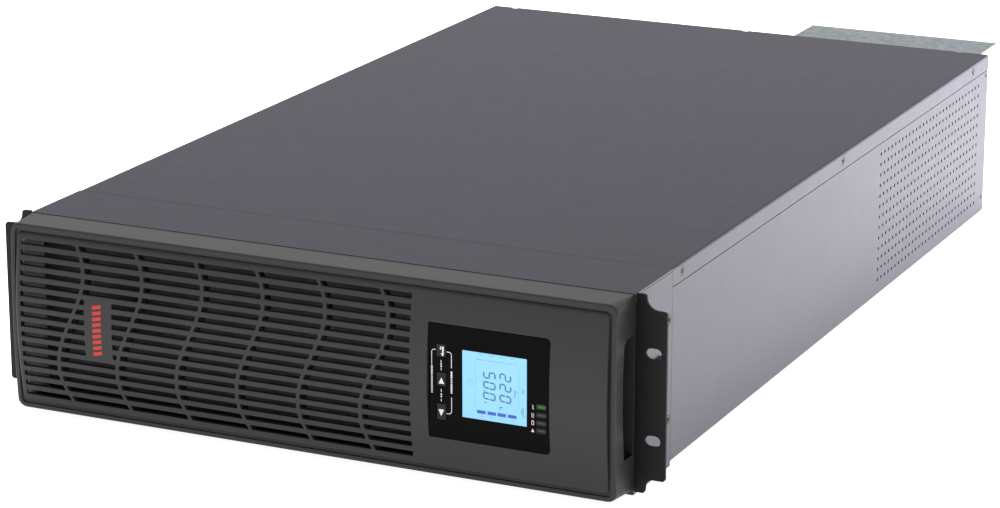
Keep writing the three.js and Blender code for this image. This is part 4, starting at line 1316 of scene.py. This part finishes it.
# fans
def fan(tag, cx):
    cz, h = 62.0, 40.0
    y1 = DEPTH - SHEET - 0.3
    y0 = y1 - 25
    hole = ring(cx, cz, 38.2, 48)
    corners = [ring(cx + sx * 35.7, cz + sz * 35.7, 2.1, 12) for sx in (-1, 1) for sz in (-1, 1)]
    v1 = plate(rrect(cx - h, cx + h, cz - h, cz + h, 4, 4), [hole] + corners, 3.4, 0.5, 2)
    g = Geo().add([(u, y1 - d, w_) for u, w_, d in v1[0]], [q[::-1] for q in v1[1]])
    g.join(on_front(v1, y0))
    # barrel between the two flanges
    n = 48
    v, f = [], []
    for rr, yy in ((38.2, y0 + 3), (38.2, y1 - 3), (39.6, y1 - 3), (39.6, y0 + 3)):
        v += [(cx + rr * math.cos(2 * math.pi * i / n), yy, cz + rr * math.sin(2 * math.pi * i / n)) for i in range(n)]
    for k in range(4):
        for i in range(n):
            j = (i + 1) % n
            f.append([k * n + i, k * n + j, ((k + 1) % 4) * n + j, ((k + 1) % 4) * n + i])
    g.join(Geo().add(v, f))
    # motor mount and four swept struts on the inner side
    g.join(lathe([(0, 0), (14.4, 0), (15, 0.6), (15, 2.6), (14.6, 3.0), (0, 3.0)], "y", (cx, y0, cz), 32))
    for k in range(4):
        a0 = math.radians(20 + 90 * k)
        pts = []
        for t in range(7):
            rr = 14 + (39 - 14) * t / 6
            a = a0 + 0.22 * t / 6
            pts.append((cx + rr * math.cos(a), y0 + 1.4, cz + rr * math.sin(a)))
        g.join(tube(pts, 1.3, 8))
    place("fan_case_" + tag, g, M["fan_black"], "chassis", ["fan_frame_" + tag], 38)

    # rotor: hub with a rounded rim and seven curved blades
    ym = (y0 + y1) / 2
    g = lathe([(0, 11.6), (11, 11.6), (14.6, 11.2), (15.7, 10.2), (16, 9.0), (16, -8.2), (15.4, -8.8), (0, -8.8)], "y", (cx, ym, cz), 40)
    for k in range(7):
        base = 2 * math.pi * k / 7
        v, f = [], []
        nr, nc = 7, 9
        for side in (0, 1):
            for i in range(nr):
                rr = 15.4 + (36.4 - 15.4) * i / (nr - 1)
                pitch = math.radians(52 - 24 * i / (nr - 1))
                chord = 15 + 5.5 * i / (nr - 1)
                sweep = -0.12 * (i / (nr - 1)) ** 1.5
                for j in range(nc):
                    s = j / (nc - 1) - 0.5
                    along = s * chord * math.cos(pitch)
                    depth = s * chord * math.sin(pitch) + 1.2 - 1.5 * (1 - 4 * s * s)
                    depth = max(-8.6, min(11.0, depth))
                    a = base + sweep + along / rr
                    th = (0.55 + 0.25 * (1 - 4 * s * s)) * (1 if side else -1)
                    v.append((cx + rr * math.cos(a), ym + depth + th, cz + rr * math.sin(a)))
        m = nr * nc
        for i in range(nr - 1):
            for j in range(nc - 1):
                q = [i * nc + j, i * nc + j + 1, (i + 1) * nc + j + 1, (i + 1) * nc + j]
                f.append(q)
                f.append([m + t for t in q[::-1]])
        rimq = [i * nc for i in range(nr)] + [(nr - 1) * nc + j for j in range(1, nc)] + [i * nc + nc - 1 for i in range(nr - 2, -1, -1)] + [j for j in range(nc - 2, 0, -1)]
        for a, b in zip(rimq, rimq[1:] + rimq[:1]):
            f.append([b, a, m + a, m + b])
        g.add(v, f)
    place("fan_impeller_" + tag, g, M["fan_black"], "fan_" + tag, ["fan_rotor_" + tag], 50)

    # wire guard: four rings on four bent legs, screwed at the corners
    g = Geo()
    gy = DEPTH + 0.3
    for rr in (9, 17, 25.5, 34):
        g.join(tube([(cx + rr * math.cos(2 * math.pi * i / 48), gy + 2.2, cz + rr * math.sin(2 * math.pi * i / 48)) for i in range(48)], 0.8, 8, True))
    for k in range(4):
        a = math.radians(45 + 90 * k)
        c, s = math.cos(a), math.sin(a)
        pts = [(cx + rr * c, gy + yy, cz + rr * s) for rr, yy in ((9, 0.95), (34, 0.95), (40, 0.95), (44, 0.95), (47.4, 0.95))]
        g.join(tube(pts, 0.8, 8))
        ex, ez = cx + 50.5 * c, cz + 50.5 * s
        g.join(tube([(ex + 3 * math.cos(t), gy + 0.95, ez + 3 * math.sin(t)) for t in [a + math.pi + 2 * math.pi * i / 16 for i in range(16)]], 0.8, 8, True))
    place("fan_grille_" + tag, g, M["guard_wire"], "chassis", ["fan_guard_" + tag], 50)
    g = Geo()
    for k in range(4):
        a = math.radians(45 + 90 * k)
        g.join(rear_screw(cx + 50.5 * math.cos(a), cz + 50.5 * math.sin(a), gy - 0.2, 2.7, 1.5, 10 + 40 * k, 2.0))
    place("fan_screws_" + tag, g, X["bright_screw"], "chassis", (), 38)


fan("a", -82.0)
fan("b", 6.0)

# ---------------------------------------------------------------- inside
for side in ("left", "right"):
    refined("battery_drawer_" + side, "battery_tray_" + side, 0.3)
    for i in range(1, 4):
        refined("battery_pack_%s_%d" % (side, i), "battery_block_%s_%d" % (side, i), 1.4, 3)
refined("battery_bay_door", "battery_door", 0.4)
refined("power_circuit", "power_board", 0.2)
refined("control_circuit", "control_board", 0.2)
refined("rectifier_sink", "heat_sink_rectifier", 0.3, 1)
refined("inverter_sink", "heat_sink_inverter", 0.3, 1)
for i in (1, 2):
    refined("can_capacitor_%d" % i, "bus_capacitor_%d" % i, 1.2, 3)
refined("choke_in", "input_choke", 1.0)
refined("choke_out", "output_choke", 1.0)

for name, node in N.items():
    if not node.hide_render:
        s = next((q["material_slot"] for q in frame["record"]["subparts"] if q["node"] == name), None)
        node.data.materials.clear()
        node.data.materials.append(M[s])

# ---------------------------------------------------------------- floor, light, camera
m, nt, b, tc = nodes_of("studio_floor")
n = noise(nt, tc.outputs["Object"], 1.5, 2)
r = ramp(nt, n.outputs["Fac"], [(0.3, (0.30, 0.30, 0.30)), (0.7, (0.32, 0.32, 0.32))])
nt.links.new(r.outputs[0], b.inputs["Base Color"])
b.inputs["Emission Color"].default_value = (1, 1, 1, 1)
b.inputs["Emission Strength"].default_value = 0.94
b.inputs["Roughness"].default_value = 0.9
b.inputs["Specular IOR Level"].default_value = 0.0
me = bpy.data.meshes.new("floor")
S = 14
me.from_pydata([(-S, -S, 0), (S, -S, 0), (S, S, 0), (-S, S, 0)], [], [[0, 1, 2, 3]])
me.materials.append(m)
floor = bpy.data.objects.new("floor", me)
floor.location = (0, 0, -0.0004)
SC.collection.objects.link(floor)

world = bpy.data.worlds.new("studio")
SC.world = world
world.use_nodes = True
wt = world.node_tree
bg = wt.nodes["Background"]
wc = wt.nodes.new("ShaderNodeTexCoord")
ws = wt.nodes.new("ShaderNodeSeparateXYZ")
wt.links.new(wc.outputs["Generated"], ws.inputs[0])
wr = ramp(wt, ws.outputs["Z"], [(0.0, (1, 1, 1)), (0.05, (1, 1, 1)), (0.22, (0.50, 0.50, 0.505)), (0.6, (0.48, 0.48, 0.485)), (1.0, (0.62, 0.62, 0.62))])
wt.links.new(wr.outputs[0], bg.inputs[0])
bg.inputs[1].default_value = 1.0


def light(name, loc, target, size, energy, color=(1, 1, 1), size_y=None):
    d = bpy.data.lights.new(name, "AREA")
    d.energy = energy
    d.size = size
    d.color = color
    if size_y:
        d.shape = "RECTANGLE"
        d.size_y = size_y
    o = bpy.data.objects.new(name, d)
    o.location = loc
    o.rotation_euler = (Vector(target) - Vector(loc)).to_track_quat("-Z", "Y").to_euler()
    o.visible_camera = False
    SC.collection.objects.link(o)
    return o


light("side_light", (0.80, 0.72, 0.38), (0.22, 0.36, 0.09), 0.35, 23.0).visible_glossy = False
light("top_light", (-0.45, 0.55, 1.8), (-0.1, -0.1, 0.12), 0.8, 140).visible_glossy = False

cam_data = bpy.data.cameras.new("camera")
cam_data.lens = 120.59
cam_data.sensor_width = 36
cam_data.clip_end = 100
cam = bpy.data.objects.new("camera", cam_data)
cam.location = (0.987156, -2.190708, 0.738656)
cam.rotation_euler = (math.radians(90 - 16.393), 0, math.radians(25.278))
SC.collection.objects.link(cam)
SC.camera = cam
SC.view_settings.view_transform = "Standard"

bpy.context.view_layer.update()
